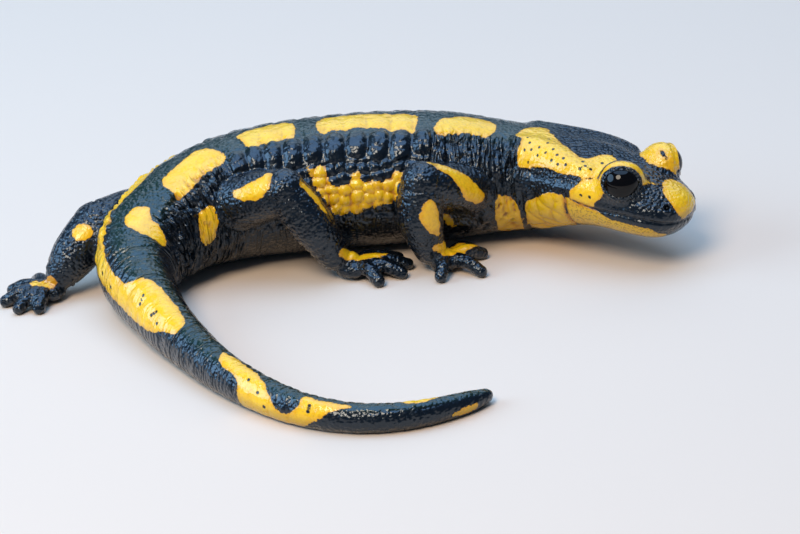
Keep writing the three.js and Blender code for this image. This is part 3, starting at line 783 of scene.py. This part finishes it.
def makeSkin():
    mesh = roughSkin()
    points, edges = pointsOf(mesh), edgesOf(mesh)
    print("remeshed", len(points))
    at = places(points)
    points -= normalsOf(mesh) * (skin["swell"] * ramp(at["limbGone"] - at["bodyGone"], -0.5, 0.5))[:, None]
    at = places(points)
    points = toSmoothForm(smoothed(points, edges, 3), at)
    joint = 1 - ramp(np.abs(at["bodyGone"]) + np.abs(at["limbGone"]), 0.8, 2.2)
    points = smoothed(points, edges, 6, joint, keepVolume=False)
    points = smoothed(points, edges, 6, 1 - ramp(at["length"], 4.0, 7.0))
    setPoints(mesh, points)

    refine(mesh, onFinerPlaces(points, at))
    points = pointsOf(mesh)
    points = toSmoothForm(smoothed(points, edgesOf(mesh), 3), places(points))
    points = smoothed(points, edgesOf(mesh), 2)
    setPoints(mesh, points)
    refine(mesh, onHeadEdges(points))
    points = pointsOf(mesh)
    print("refined", len(points))

    points = shapeMouth(points, normalsOf(mesh))
    back, _, _, lift = headPlace(points)
    byMouth = (np.abs(lift) < 0.9) & (back < mouth["corner"] + 1)
    points = smoothed(points, edgesOf(mesh), 3, byMouth.astype(float), keepVolume=False)
    points = shapeLids(points)
    setPoints(mesh, points)
    at = places(points)
    relief = reliefOf(points, at)
    for side in (1, -1):
        outside, _, distance = lidCoordinates(points, side)
        relief *= np.where(distance < 5.5, ramp(outside, 0.4, 1.8), 1)
    points = points + normalsOf(mesh) * relief[:, None]
    points[:, 2] = np.maximum(points[:, 2], 0)
    setPoints(mesh, points)
    print("folds and glands")
    return mesh, at, relief


skinMesh, skinAt, skinRelief = makeSkin()

# The markings, as outlines of (length, angle) corners on the body.
marks = {
    "gland right": [(31.5, 16), (31.5, 25), (30, 30), (30, 46), (29.5, 58), (28.5, 62), (25, 59), (21, 58),
                    (18.5, 61), (16, 58), (14.5, 59), (13.5, 53), (12, 42), (11.5, 26), (12.5, 8), (14, 4),
                    (15, 6), (16, 20), (17, 28), (18.5, 28), (21, 20), (23, 16), (25, 8), (27, -2), (28, -8),
                    (30, -3), (31, 6)],
    "gland left": [(30.5, -46), (30, -54), (30.5, -62), (28.5, -72), (24, -70), (19, -72), (16, -68),
                   (14, -62), (13.5, -54), (15.5, -50), (17.5, -52), (21, -54), (24.5, -50), (27, -45),
                   (29.5, -43)],
    "cheek right": [(16.5, 88), (16.5, 80), (15.5, 70), (15, 62), (14, 56), (13, 50), (11, 53), (10, 62),
                    (10.5, 70), (11.5, 81), (12.5, 91), (14, 96), (16, 93)],
    "cheek left": [(16.5, -86), (16, -74), (14, -66), (12.5, -60), (11, -64), (11, -76), (12, -88),
                   (14.5, -92)],
    "jaw right": [(17.5, 88), (16, 91), (14, 95), (12, 97), (10.5, 101), (9.5, 104), (7, 105), (5, 105),
                  (3.5, 112), (3, 128), (2.5, 148), (5, 164), (10, 160), (15, 163), (17.5, 150), (17.5, 118),
                  (17.5, 100)],
    "jaw left": [(17.5, -90), (14, -96), (10.5, -103), (7, -107), (4.5, -113), (3.5, -130), (5, -150),
                 (10, -146), (14, -152), (17.5, -146), (17.5, -115)],
    "throat right": [(26.5, 96), (27.5, 104), (27.5, 116), (28, 130), (28, 146), (27, 162), (23, 168),
                     (19, 160), (17.7, 140), (17.7, 118), (17.7, 104), (17.7, 90), (19, 87), (21, 86),
                     (22, 89), (24.5, 93)],
    "throat left": [(27, -100), (28, -120), (27, -150), (22, -158), (18, -140), (18, -110), (19.5, -96),
                    (23, -94)],
    "neck right": [(34.5, 95), (33.5, 91), (31.5, 92), (30, 97), (29, 105), (29, 122), (29.5, 143),
                   (31.5, 155), (34.5, 148), (35, 126), (35, 108)],
    "neck left": [(35.5, -92), (32, -88), (29.5, -98), (29, -124), (31, -146), (34.5, -140), (36, -116)],
    "back right 4": [(45.5, 32), (45.5, 24), (44.5, 15), (42.5, 7), (40, 2), (37.5, 2), (35.5, 8), (35.5, 20),
                     (36.5, 31), (38.5, 33), (40, 31), (42, 34), (44.5, 36)],
    "back right 3": [(64.5, 8), (63, 2), (60, 0), (57, 1), (53, 4), (48.5, 7), (48.5, 25), (49, 35),
                     (50.5, 33), (51, 30), (52.5, 33), (53.5, 29), (56, 27), (58.5, 26), (60, 28),
                     (62.5, 27), (64, 30), (65, 19)],
    "back right 2": [(78, 8), (76.5, 4), (74, 1), (71.5, 0), (69.5, 2), (68.5, 10), (68.5, 22), (69, 30),
                     (70.5, 30), (72, 32), (73.5, 33), (75, 30), (76, 34), (77.5, 29), (78, 17)],
    "back right 1": [(93, 8), (91, 6), (89, 6), (86.5, 3), (84.5, 3), (83, 12), (82, 23), (82, 33),
                     (83.5, 38), (87.5, 37), (90, 41), (94, 40), (94, 30), (94, 18)],
    "back left 4": [(42, -40), (38, -36), (34.5, -39), (34, -50), (37.5, -58), (42, -56), (43.5, -48)],
    "back left 3": [(63, -40), (57, -38), (51, -40), (47.5, -44), (48, -54), (53, -60), (60, -59),
                    (64.5, -50)],
    "back left 2": [(77, -40), (72, -38), (68.5, -41), (68, -52), (72, -58), (76.5, -54), (78, -46)],
    "stripe left": [(100, -38), (97.5, -27), (95.5, -20), (93, -18), (90, -23), (87, -22), (84.5, -23),
                    (82.5, -30), (83, -42), (86, -52), (90, -60), (98, -76), (104, -84), (109, -87),
                    (118, -87), (121, -84), (123.5, -75), (126, -58), (128.5, -43), (129, -27), (128, -4),
                    (126, 6), (123.5, 9), (119.5, 7), (117, 3), (115, -11), (114, -33), (113, -46),
                    (111, -50), (108.5, -52), (105.5, -49), (102.5, -43)],
    "tail top": [(101.5, -10), (100, -5), (99, 6), (99, 16), (101, 22), (102, 34), (103.5, 47), (105, 53),
                 (106, 47), (105.5, 30), (105, 15), (104, 2), (103, -7)],
    "tail band": [(138.5, -8), (138.5, 10), (141, 19), (144, 15), (147, 3), (149.5, -18), (151, -45),
                  (152, -70), (153.5, -90), (155, -76), (156, -44), (156, -8), (157.5, -2), (160, -8),
                  (163.5, -14), (161, -42), (159.5, -72), (158, -98), (156.5, -126), (153.5, -138),
                  (149.5, -138), (146, -128), (145.5, -100), (145, -55), (143, -34), (140.5, -30)],
    "tail right": [(176, 14), (174.5, -6), (172.5, -12), (171, 0), (170, 24), (170.5, 60), (173, 84),
                   (175.5, 60)],
    "tail end": [(181, -86), (179, -84), (177, -98), (177.5, -116), (180, -120), (181, -104)],
    "hip right": [(92.5, 68), (90.5, 67), (89, 69), (88, 77), (88.5, 86), (89.5, 94), (90, 101), (92.5, 102),
                  (93.5, 94), (93.5, 82)],
    "hip left": [(89, -76), (86.5, -80), (86, -94), (88.5, -100), (90.5, -90)],
    "flank left": [(63, -76), (60.5, -72), (57.5, -78), (54, -74), (50.5, -78), (50, -92), (53.5, -98),
                   (58, -95), (62, -99), (65, -90)],
    "flank left 2": [(75.5, -70), (72, -72), (70.5, -82), (73, -90), (76.5, -82)],
}
cluster = [(67, 66), (65.5, 62), (64, 63), (63.5, 70), (63, 77), (62, 82), (61, 78), (60, 78), (59.5, 74),
           (58.5, 71), (58, 75), (57.5, 78), (56, 77), (55, 81), (54, 84), (54, 77), (53, 73), (51.5, 73),
           (51, 80), (51, 92), (53, 97), (57, 98), (60, 102), (62.5, 103), (64, 97), (65.5, 90), (66.5, 80)]
# The snout's patch, seen along a line that slopes down on to the snout: corners of (to the right, up).
snoutPatch = {"slope": 35, "back": 5.5, "height": 9.5,
              "corners": [(0, 3.2), (1.6, 2.4), (2.6, 1.4), (3, 0.2), (2.8, -1.8), (1.8, -3.2), (0.2, -3.4),
                          (-1, -3), (-2.4, -2.2), (-3, -0.8), (-3, 0.6), (-2.6, 2), (-1.6, 3)]}
# The bands on the lids: narrow outside the right eye's rim, and all over the left one's swelling.
lidBand = {"inner": 0.7, "outer": 2.5, "frontLoss": 1.1, "near": 5.8, "leftInner": 0.15, "leftReach": 4.05}
# Thin dark creases, with half widths: from the cheek to the eye along the body, and on the far lid in the
# head's places (back, to the right, height).
wedge = [(15, 59, 0.25), (14, 55, 0.2), (13, 50, 0.15), (11.5, 48, 0.15)]
lidSlit = [(8.4, -3.9, 17.3, 0.1), (7.5, -3.5, 16.8, 0.28), (7, -3.4, 16.3, 0.26), (6.5, -3.3, 15.8, 0.1)]
# On the legs, a stroke has points in space: forwards, to the left, up, half width.
legMarks = {
    "upper arm": [(5.5, -14, 18, 0.5), (7, -14, 17.5, 0.8), (9, -14, 16, 1.1), (10.5, -14, 14.5, 1.4),
                  (12, -14, 12.5, 1.6), (13, -13, 11, 1.1)],
    "forearm": [(5, -18, 12.5, 1), (5, -18.5, 11, 1.8), (5.5, -18, 9, 1.4), (6, -17.5, 7.5, 0.5)],
    "hand": [(5.5, -17, 5, 0.8), (7, -16, 4, 1.2), (8.5, -15, 3, 1.3), (10, -13.5, 3, 1.1),
             (11.5, -12.5, 2.5, 0.9)],
    "armpit": [(7.5, -11.5, 7.5, 0.6), (8, -11, 6.5, 0.65), (9, -10.5, 5.5, 0.4)],
    "thigh": [(-25.5, -15, 16, 0.7), (-24, -15.5, 16, 1.2), (-22, -15.5, 16.5, 1.7), (-21, -15.5, 17.5, 1.4),
              (-20, -14.5, 18.5, 0.7)],
    "shank": [(-15, -15.5, 17, 0.5), (-13.5, -15.5, 15, 0.8), (-12, -16, 11.5, 0.8), (-10.5, -16, 8, 0.5)],
    "hind foot": [(-10, -16.5, 5, 0.8), (-7, -15, 3.5, 1), (-4.5, -14.5, 3, 0.9), (-2.5, -14, 2.5, 0.6)],
    "left thigh": [(-50.5, -13, 10.5, 1.5), (-51, -13, 10.5, 1.4)],
    "left hind foot": [(-56.5, -16, 3.5, 1.1), (-59, -15, 3, 0.9)],
    "left arm": [(13.5, 13.5, 13, 1.2), (11.5, 17, 12.5, 1.4)],
    "left hand": [(20.5, 18, 3.5, 1.1), (22.5, 17.5, 3, 1)],
}
# Pores, as (length, angle), and how far round each one its place is kept, on the head and the coarser tail.
pores = [(29, 25), (28, 33), (28.5, 43), (27, 41), (25.5, 36), (27, 55), (25, 46), (23.5, 41), (21.5, 48),
         (20, 51), (19.5, 42), (18.5, 49), (22.5, 34), (21, 40), (24.5, 27), (25.5, 16), (27.5, 16),
         (16, 48), (15.5, 41), (14.5, 42), (14, 23), (16.5, 35), (14.5, 82), (13, 81), (118, -32),
         (118.5, -49), (122.5, -34), (122, -47), (124, -52), (110, -74), (107, -71), (146.5, -28),
         (149, -52), (150.5, -88), (157.5, -38), (157.5, -60), (29, -44), (27.5, -54), (26.5, -40),
         (25, -52), (23, -46), (21, -54), (19.5, -48), (17.5, -54), (15.5, -46), (14, -72)]
poreReach = {"head": 0.5, "tail": 0.85, "tailFrom": 40, "default": 5.0}
farOutside = -50.0


# A closed outline through the corners, with soft bends.
def rounded(corners, cuts=4):
    p = np.array(corners, float)
    before, after, beyond = np.roll(p, 1, 0), np.roll(p, -1, 0), np.roll(p, -2, 0)
    out = []
    for t in np.arange(cuts) / cuts:
        out.append(0.5 * (2 * p + (after - before) * t + (2 * before - 5 * p + 4 * after - beyond) * t ** 2
                          + (3 * p - before - 3 * after + beyond) * t ** 3))
    return np.stack(out, 1).reshape(-1, 2)


# Distance inside a closed outline, below zero outside it.
def insideOutline(x, y, outline):
    gone, crossings = np.full(x.shape, 1e3), np.zeros(x.shape, int)
    for (ax, ay), (bx, by) in zip(outline, np.roll(outline, -1, 0)):
        dx, dy = bx - ax, by - ay
        t = np.clip(((x - ax) * dx + (y - ay) * dy) / max(dx * dx + dy * dy, 1e-9), 0, 1)
        gone = np.minimum(gone, np.hypot(x - ax - t * dx, y - ay - t * dy))
        spans = (ay > y) != (by > y)
        crossings += spans & (x < ax + (y - ay) / (dy if abs(dy) > 1e-9 else 1e-9) * dx)
    return np.where(crossings % 2 == 1, gone, -gone)


# How far inside a marking each place is, in millimetres on the rolled-out skin.
def markDepth(length, angle, corners):
    depth = np.full(len(length), farOutside)
    outline = rounded(corners)
    near = np.flatnonzero((length > outline[:, 0].min() - 4) & (length < outline[:, 0].max() + 4))
    x, y = flatPlace(length[near], angle[near])
    depth[near] = insideOutline(x, y, np.stack(flatPlace(outline[:, 0], outline[:, 1]), 1))
    return depth


def lidMark(points, side):
    outside, way, distance = lidCoordinates(points, side)
    above = (np.sin(way) + 0.12) * 3.2
    if side < 0:
        return np.minimum(np.minimum(outside - lidBand["leftInner"], lidBand["leftReach"] - distance), above)
    outer = lidBand["outer"] - lidBand["frontLoss"] * ramp(np.cos(way), 0.1, 1.0)
    band = np.minimum(np.minimum(outside - lidBand["inner"], outer - outside), above)
    return np.where(distance < lidBand["near"], band, farOutside)


# How deep each point lies inside the yellow, in millimetres.
def yellowDepth(points, at, onLeg):
    length, angle = at["length"], at["angle"]
    back, out, height, lift = headPlace(points)
    yellow = np.full(len(points), farOutside)
    for name, corners in marks.items():
        depth = markDepth(length, angle, corners)
        if "jaw" in name:
            depth = np.minimum(depth, -lift - 0.05)
        if "cheek" in name:
            depth = np.minimum(depth, lift - 0.05)
        yellow = np.maximum(yellow, depth)
    # The flank's cluster takes in whole tubercles.
    drift = wobble(points, 4.0, 1)
    _, _, u, v = tuberclesAt(length, flatPlace(length, angle)[1], drift)
    cellLength = u * tubercle["length"] - tubercle["sway"] * drift
    cellAround = (v - tubercle["swayRound"] * drift) * tubercle["around"]
    cellAngle = np.degrees(cellAround / meanRadius(cellLength))
    depth = markDepth(0.25 * length + 0.75 * cellLength, 0.25 * angle + 0.75 * cellAngle, cluster)
    yellow = np.maximum(yellow, np.where(angle > 0, depth, farOutside))
    yellow = np.where(onLeg, farOutside, yellow)
    for stroke in legMarks.values():
        yellow = np.maximum(yellow, -toPath(points, np.array(stroke, float))[0])
    slope = math.radians(snoutPatch["slope"])
    rise = math.cos(slope) * (height - snoutPatch["height"]) - math.sin(slope) * (snoutPatch["back"] - back)
    front = insideOutline(out, rise, rounded(snoutPatch["corners"]))
    yellow = np.maximum(yellow, np.where(back < snoutPatch["back"] + 0.5, front, farOutside))
    yellow = np.minimum(yellow, toPath(points, strokePoints(wedge))[0])
    for side, darkRim in ((1, 0.55), (-1, 0.15)):
        outside, _, distance = lidCoordinates(points, side)
        yellow = np.maximum(yellow, lidMark(points, side))
        yellow = np.where(distance < 5.0, np.minimum(yellow, outside - darkRim), yellow)
    slit = np.array([(*fromHead(*place[:3]), place[3]) for place in lidSlit])
    return np.minimum(yellow, toPath(points, slit)[0])


# The way from each place to the nearest pore, on the rolled-out skin.
def wayToPores(length, around, onLeg):
    spots = np.stack(flatPlace(*np.array(pores, float).T), 1)
    reach = np.where(length < poreReach["tailFrom"], poreReach["head"], poreReach["tail"])
    nearest = np.full(len(length), poreReach["default"])
    away = np.stack([0 * length, 0 * length, nearest], 1)
    for spot in spots:
        apart = np.stack([length - spot[0], around - spot[1], 0 * length], 1)
        gone = np.hypot(apart[:, 0], apart[:, 1])
        closer = (gone < np.minimum(nearest, reach)) & ~onLeg
        nearest[closer] = gone[closer]
        away[closer] = apart[closer]
    return away


# What the skin's material reads, as attributes of its points.
def paint(mesh, at, relief):
    points = pointsOf(mesh)
    length, angle = at["length"], at["angle"]
    side, around = np.abs(angle), flatPlace(length, angle)[1]
    onLeg = at["limbGone"] < np.abs(at["bodyGone"]) + 0.25
    isBody = ramp(at["limbGone"] - np.abs(at["bodyGone"]), -0.2, 0.4)
    back, _, height, lift = headPlace(points)
    inMouth = ridge(lift, mouth["width"]) * mouthFade(back) * (height < mouth["top"]) * (side < 140)
    byMouth = (1 - ramp(np.abs(lift), 0.8, 1.8)) * (length < 20) * (side < 150)

    bodyPlace = np.stack([length, around, 0 * length], 1)
    limbPlace = np.stack([200 + 40 * at["number"] + at["along"], points[:, 1] + points[:, 2], 0 * length], 1)
    wrinkled = between(length, 27, 32, 45, 50) * between(side, 22, 38, 76, 100)
    wrinkled = np.maximum(wrinkled, between(length, 79, 85, 104, 118) * ramp(side, 15, 45))
    wrinkled = np.maximum(wrinkled, 0.3 * between(length, 40, 50, 80, 90) * ramp(side, 104, 112))
    wrinkled = np.maximum(wrinkled, 0.45 * between(length, 100, 110, 130, 165))
    atJoin = ramp(1 - 2 * np.abs(isBody - 0.5), 0.2, 0.9)
    headTop = (1 - ramp(length, 24, 34)) * (1 - ramp(side, 60, 80))
    lobes = np.maximum(between(length, 44, 47, 80, 84) * between(side, 24, 34, 95, 110), byMouth)
    attributes = {
        "yellow": yellowDepth(points, at, onLeg),
        "relief": relief - 0.5 * inMouth,
        # The mouth's line is sunk further in this value, which only the colour reads: painted shade along the
        # line.
        "poreAway": wayToPores(length, around, onLeg),
        "skinPlace": np.where(isBody[:, None] > 0.5, bodyPlace, limbPlace),
        "wrinkled": np.where(isBody > 0.5, wrinkled, 0.12) * (1 - atJoin),
        # Where the back's top takes a painted green sheen, standing in for a reflection of green
        # surroundings.
        "greenSheenOnBack": (1 - ramp(side, 22, 46)) * isBody * ramp(length, 24, 34),
        "granular": np.where(isBody > 0.5, np.maximum(headTop, 0.32 - 0.14 * lobes), 0.5),
        "smoother": lobes * isBody,
        # Where the underside's yellow takes painted shade, darker the further it faces down.
        "below": ramp(side, 76, 104) * isBody,
        "underJaw": between(length, 2, 4, 17.5, 18.5) * ramp(side, 86, 100) * isBody,
    }
    for name, values in attributes.items():
        kind, key = ("FLOAT", "value") if values.ndim == 1 else ("FLOAT_VECTOR", "vector")
        made = mesh.attributes.new(name, kind, "POINT")
        made.data.foreach_set(key, np.asarray(values, np.float32).ravel())
    print("markings")


paint(skinMesh, skinAt, skinRelief)


# Wet amphibian skin over pigment cells, black with yellow spots: a film of slime gives the hard highlights.
def wetSkin():
    material, tree = newMaterial("wet salamander skin")
    place = addNode(tree, "TexCoord", {}, "Object")
    read = {name: addNode(tree, "Attribute", {}, "Fac", attribute_name=name) for name in
            ("yellow", "relief", "wrinkled", "greenSheenOnBack", "granular", "smoother", "below", "underJaw")}
    poreAway = addNode(tree, "Attribute", {}, "Vector", attribute_name="poreAway")
    skinPlace = addNode(tree, "Attribute", {}, "Vector", attribute_name="skinPlace")
    # Clouds of colour and unevenness, by their size in millimetres and their detail.
    sizes = {"wander": (1.3, 2), "tooth": (0.35, 2), "speckle": (0.5, 2), "dark": (2.2, 3), "tone": (3.0, 3),
             "dots": (0.34, 1), "pebbles": (0.3, 1), "uneven": (0.9, 2), "film": (1.8, 2)}
    cloud = {name: addNode(tree, "TexNoise", {"Vector": place, "Scale": 1 / (size * mm), "Detail": detail})
             for name, (size, detail) in sizes.items()}

    # The edge of a marking wanders by about 0.2 mm, with a finer tooth. A cloud's middle is 0.5.
    edge = addNode(tree, "Math", {0: cloud["wander"], 1: 0.8, 2: read["yellow"]}, operation="MULTIPLY_ADD")
    edge = addNode(tree, "Math", {0: cloud["tooth"], 1: 0.35, 2: edge}, operation="MULTIPLY_ADD")
    edge = addNode(tree, "Math", {0: edge, 1: (0.8 + 0.35) / 2}, operation="SUBTRACT")
    isYellow = addNode(tree, "MapRange", {0: edge, 1: -0.06, 2: 0.06})
    nearEdge = addNode(tree, "MapRange", {0: edge, 1: 0.7, 2: 0})
    # A pore is dark up to 0.2 mm from its middle and ends at 0.3 mm. The speckle adds 0.1 mm on average.
    pore = addNode(tree, "VectorMath", {0: poreAway}, "Value", operation="LENGTH")
    pore = addNode(tree, "Math", {0: cloud["speckle"], 1: 0.2, 2: pore}, operation="MULTIPLY_ADD")
    inPore = addNode(tree, "MapRange", {0: pore, 1: 0.4, 2: 0.3})
    # Painted shade: the yellow turns dark orange where the relief sinks, in grooves and along the mouth's
    # line.
    grooveShade = addNode(tree, "MapRange", {0: read["relief"], 1: -0.02, 2: -0.298})
    speck = addNode(tree, "MapRange", {0: cloud["speckle"], 1: 0.5, 2: 1.125})
    dots = addNode(tree, "Math", {0: cloud["dots"], 1: 0.56}, operation="GREATER_THAN")
    dots = addNode(tree, "Math", {0: dots, 1: read["underJaw"]}, operation="MULTIPLY")

    black, colour = [addNode(tree, "Mix", {0: cloud[name], 6: srgb(low), 7: srgb(high)}, 2, data_type="RGBA")
                     for name, low, high in (("dark", "#030508", "#0C1219"), ("tone", "#F3B006", "#FFCF1E"))]
    # Layers over the yellow: a darker rim at its edge, painted shade on the underside, speckles, dark dots
    # under the jaw, painted shade in the grooves, and the dark pores.
    layers = [(nearEdge, 1, "#EBA60F"), (read["below"], 0.65, "#BE9404"), (speck, 1, "#C88A0C"),
              (dots, 0.45, "#5A3A08"), (grooveShade, 0.7, "#A85E06"), (inPore, 1, "#140B05")]
    for where, share, code in layers:
        amount = addNode(tree, "Math", {0: where, 1: share}, operation="MULTIPLY")
        colour = addNode(tree, "Mix", {0: amount, 6: colour, 7: srgb(code)}, 2, data_type="RGBA")
    # Painted green sheen on the back's top: the black turns green there, as a reflection would make it.
    amount = addNode(tree, "Math", {0: read["greenSheenOnBack"], 1: 0.6}, operation="MULTIPLY")
    black = addNode(tree, "Mix", {0: amount, 6: black, 7: srgb("#16301F")}, 2, data_type="RGBA")
    colour = addNode(tree, "Mix", {0: isYellow, 6: black, 7: colour}, 2, data_type="RGBA")

    # Real skin grain is about 0.2 mm, too fine to show, so it is drawn at 0.6 mm. Folds are about 1.6 mm
    # apart along the body and stretch round it. Heights are in millimetres, and yellow skin is smoother.
    grain = addNode(tree, "TexVoronoi", {"Vector": place, "Scale": 1 / (0.6 * mm), "Smoothness": 0.4},
                    "Distance", feature="SMOOTH_F1")
    stretched = addNode(tree, "Mapping", {"Vector": skinPlace, "Scale": (1.0, 0.22, 1)})
    folds = addNode(tree, "TexNoise", {"Vector": stretched, "Scale": 0.62, "Detail": 1.6, "Distortion": 0.5})
    for operation, value in (("SUBTRACT", 0.5), ("ABSOLUTE", 0), ("MINIMUM", 0.16)):
        folds = addNode(tree, "Math", {0: folds, 1: value}, operation=operation)
    # Each form: how much of it shows, its height, and another value with what that adds to the height.
    forms = [(grain, read["granular"], -0.44, isYellow, 0.33), (cloud["pebbles"], 1, 0.02, 0, 0),
             (cloud["uneven"], 1, 0.09, read["smoother"], -0.036),
             (folds, read["wrinkled"], 3.4, isYellow, -2.21), (inPore, 1, -0.12, 0, 0)]
    height = 0.0
    for form, share, full, where, change in forms:
        amount = addNode(tree, "Math", {0: where, 1: change, 2: full}, operation="MULTIPLY_ADD")
        amount = addNode(tree, "Math", {0: amount, 1: share}, operation="MULTIPLY")
        height = addNode(tree, "Math", {0: form, 1: amount, 2: height}, operation="MULTIPLY_ADD")
    bump = addNode(tree, "Bump", {"Strength": 1.0, "Distance": mm, "Height": height})

    rough = addNode(tree, "Math", {0: cloud["film"], 1: 0.25, 2: 0.18}, operation="MULTIPLY_ADD")
    surface = addNode(tree, "BsdfPrincipled", {
        "Base Color": colour, "Roughness": rough, "IOR": 1.4, "Normal": bump,
        "Specular Tint": (0.62, 0.80, 1.0, 1), "Coat Weight": 1.0, "Coat Roughness": 0.12,
        "Coat IOR": 1.37, "Coat Normal": bump,
        "Subsurface Weight": 0.05, "Subsurface Scale": 0.6 * mm, "Subsurface Radius": (1.0, 0.55, 0.2)})
    addNode(tree, "OutputMaterial", {"Surface": surface})
    return material


# A live eye: a brown-black iris under a clear wet cornea.
def wetEye():
    material, tree = newMaterial("dark eye under cornea")
    place = addNode(tree, "TexCoord", {}, "Object")
    threads = addNode(tree, "TexNoise", {"Vector": place, "Scale": 1 / (0.35 * mm), "Detail": 4.0})
    tone = addNode(tree, "Mix", {0: threads, 6: srgb("#020203"), 7: srgb("#0E0907")}, 2, data_type="RGBA")
    surface = addNode(tree, "BsdfPrincipled", {"Base Color": tone, "Roughness": 0.05, "IOR": 1.336})
    addNode(tree, "OutputMaterial", {"Surface": surface})
    return material


# A mesh in the spine's millimetres becomes a piece in the frame's metres.
def finishPiece(mesh, name, material, nodes):
    mesh.transform(Matrix.Scale(mm, 4) @ Matrix.Translation(shift))
    mesh.name = name
    mesh.materials.clear()
    mesh.materials.append(material)
    mesh.polygons.foreach_set("use_smooth", [True] * len(mesh.polygons))
    piece = addObject(name, mesh)
    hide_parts(*nodes)
    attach(piece, "root")


flesh = [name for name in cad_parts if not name.startswith("eye")]
finishPiece(skinMesh, "skin", wetSkin(), flesh)
triangles = sum(len(p.vertices) - 2 for p in skinMesh.polygons)
print("skin", len(skinMesh.vertices), "points,", triangles, "triangles")

eyeMaterial = wetEye()
for name, side in (("right", 1), ("left", -1)):
    bm = bmesh.new()
    bmesh.ops.create_uvsphere(bm, u_segments=64, v_segments=40, radius=eye["radius"],
                              matrix=Matrix.Translation(eyeFrame(side)[0]))
    finishPiece(meshOf(bm, "eyeball"), "eyeball_" + name, eyeMaterial, ["eye_" + name])
print("eyes")
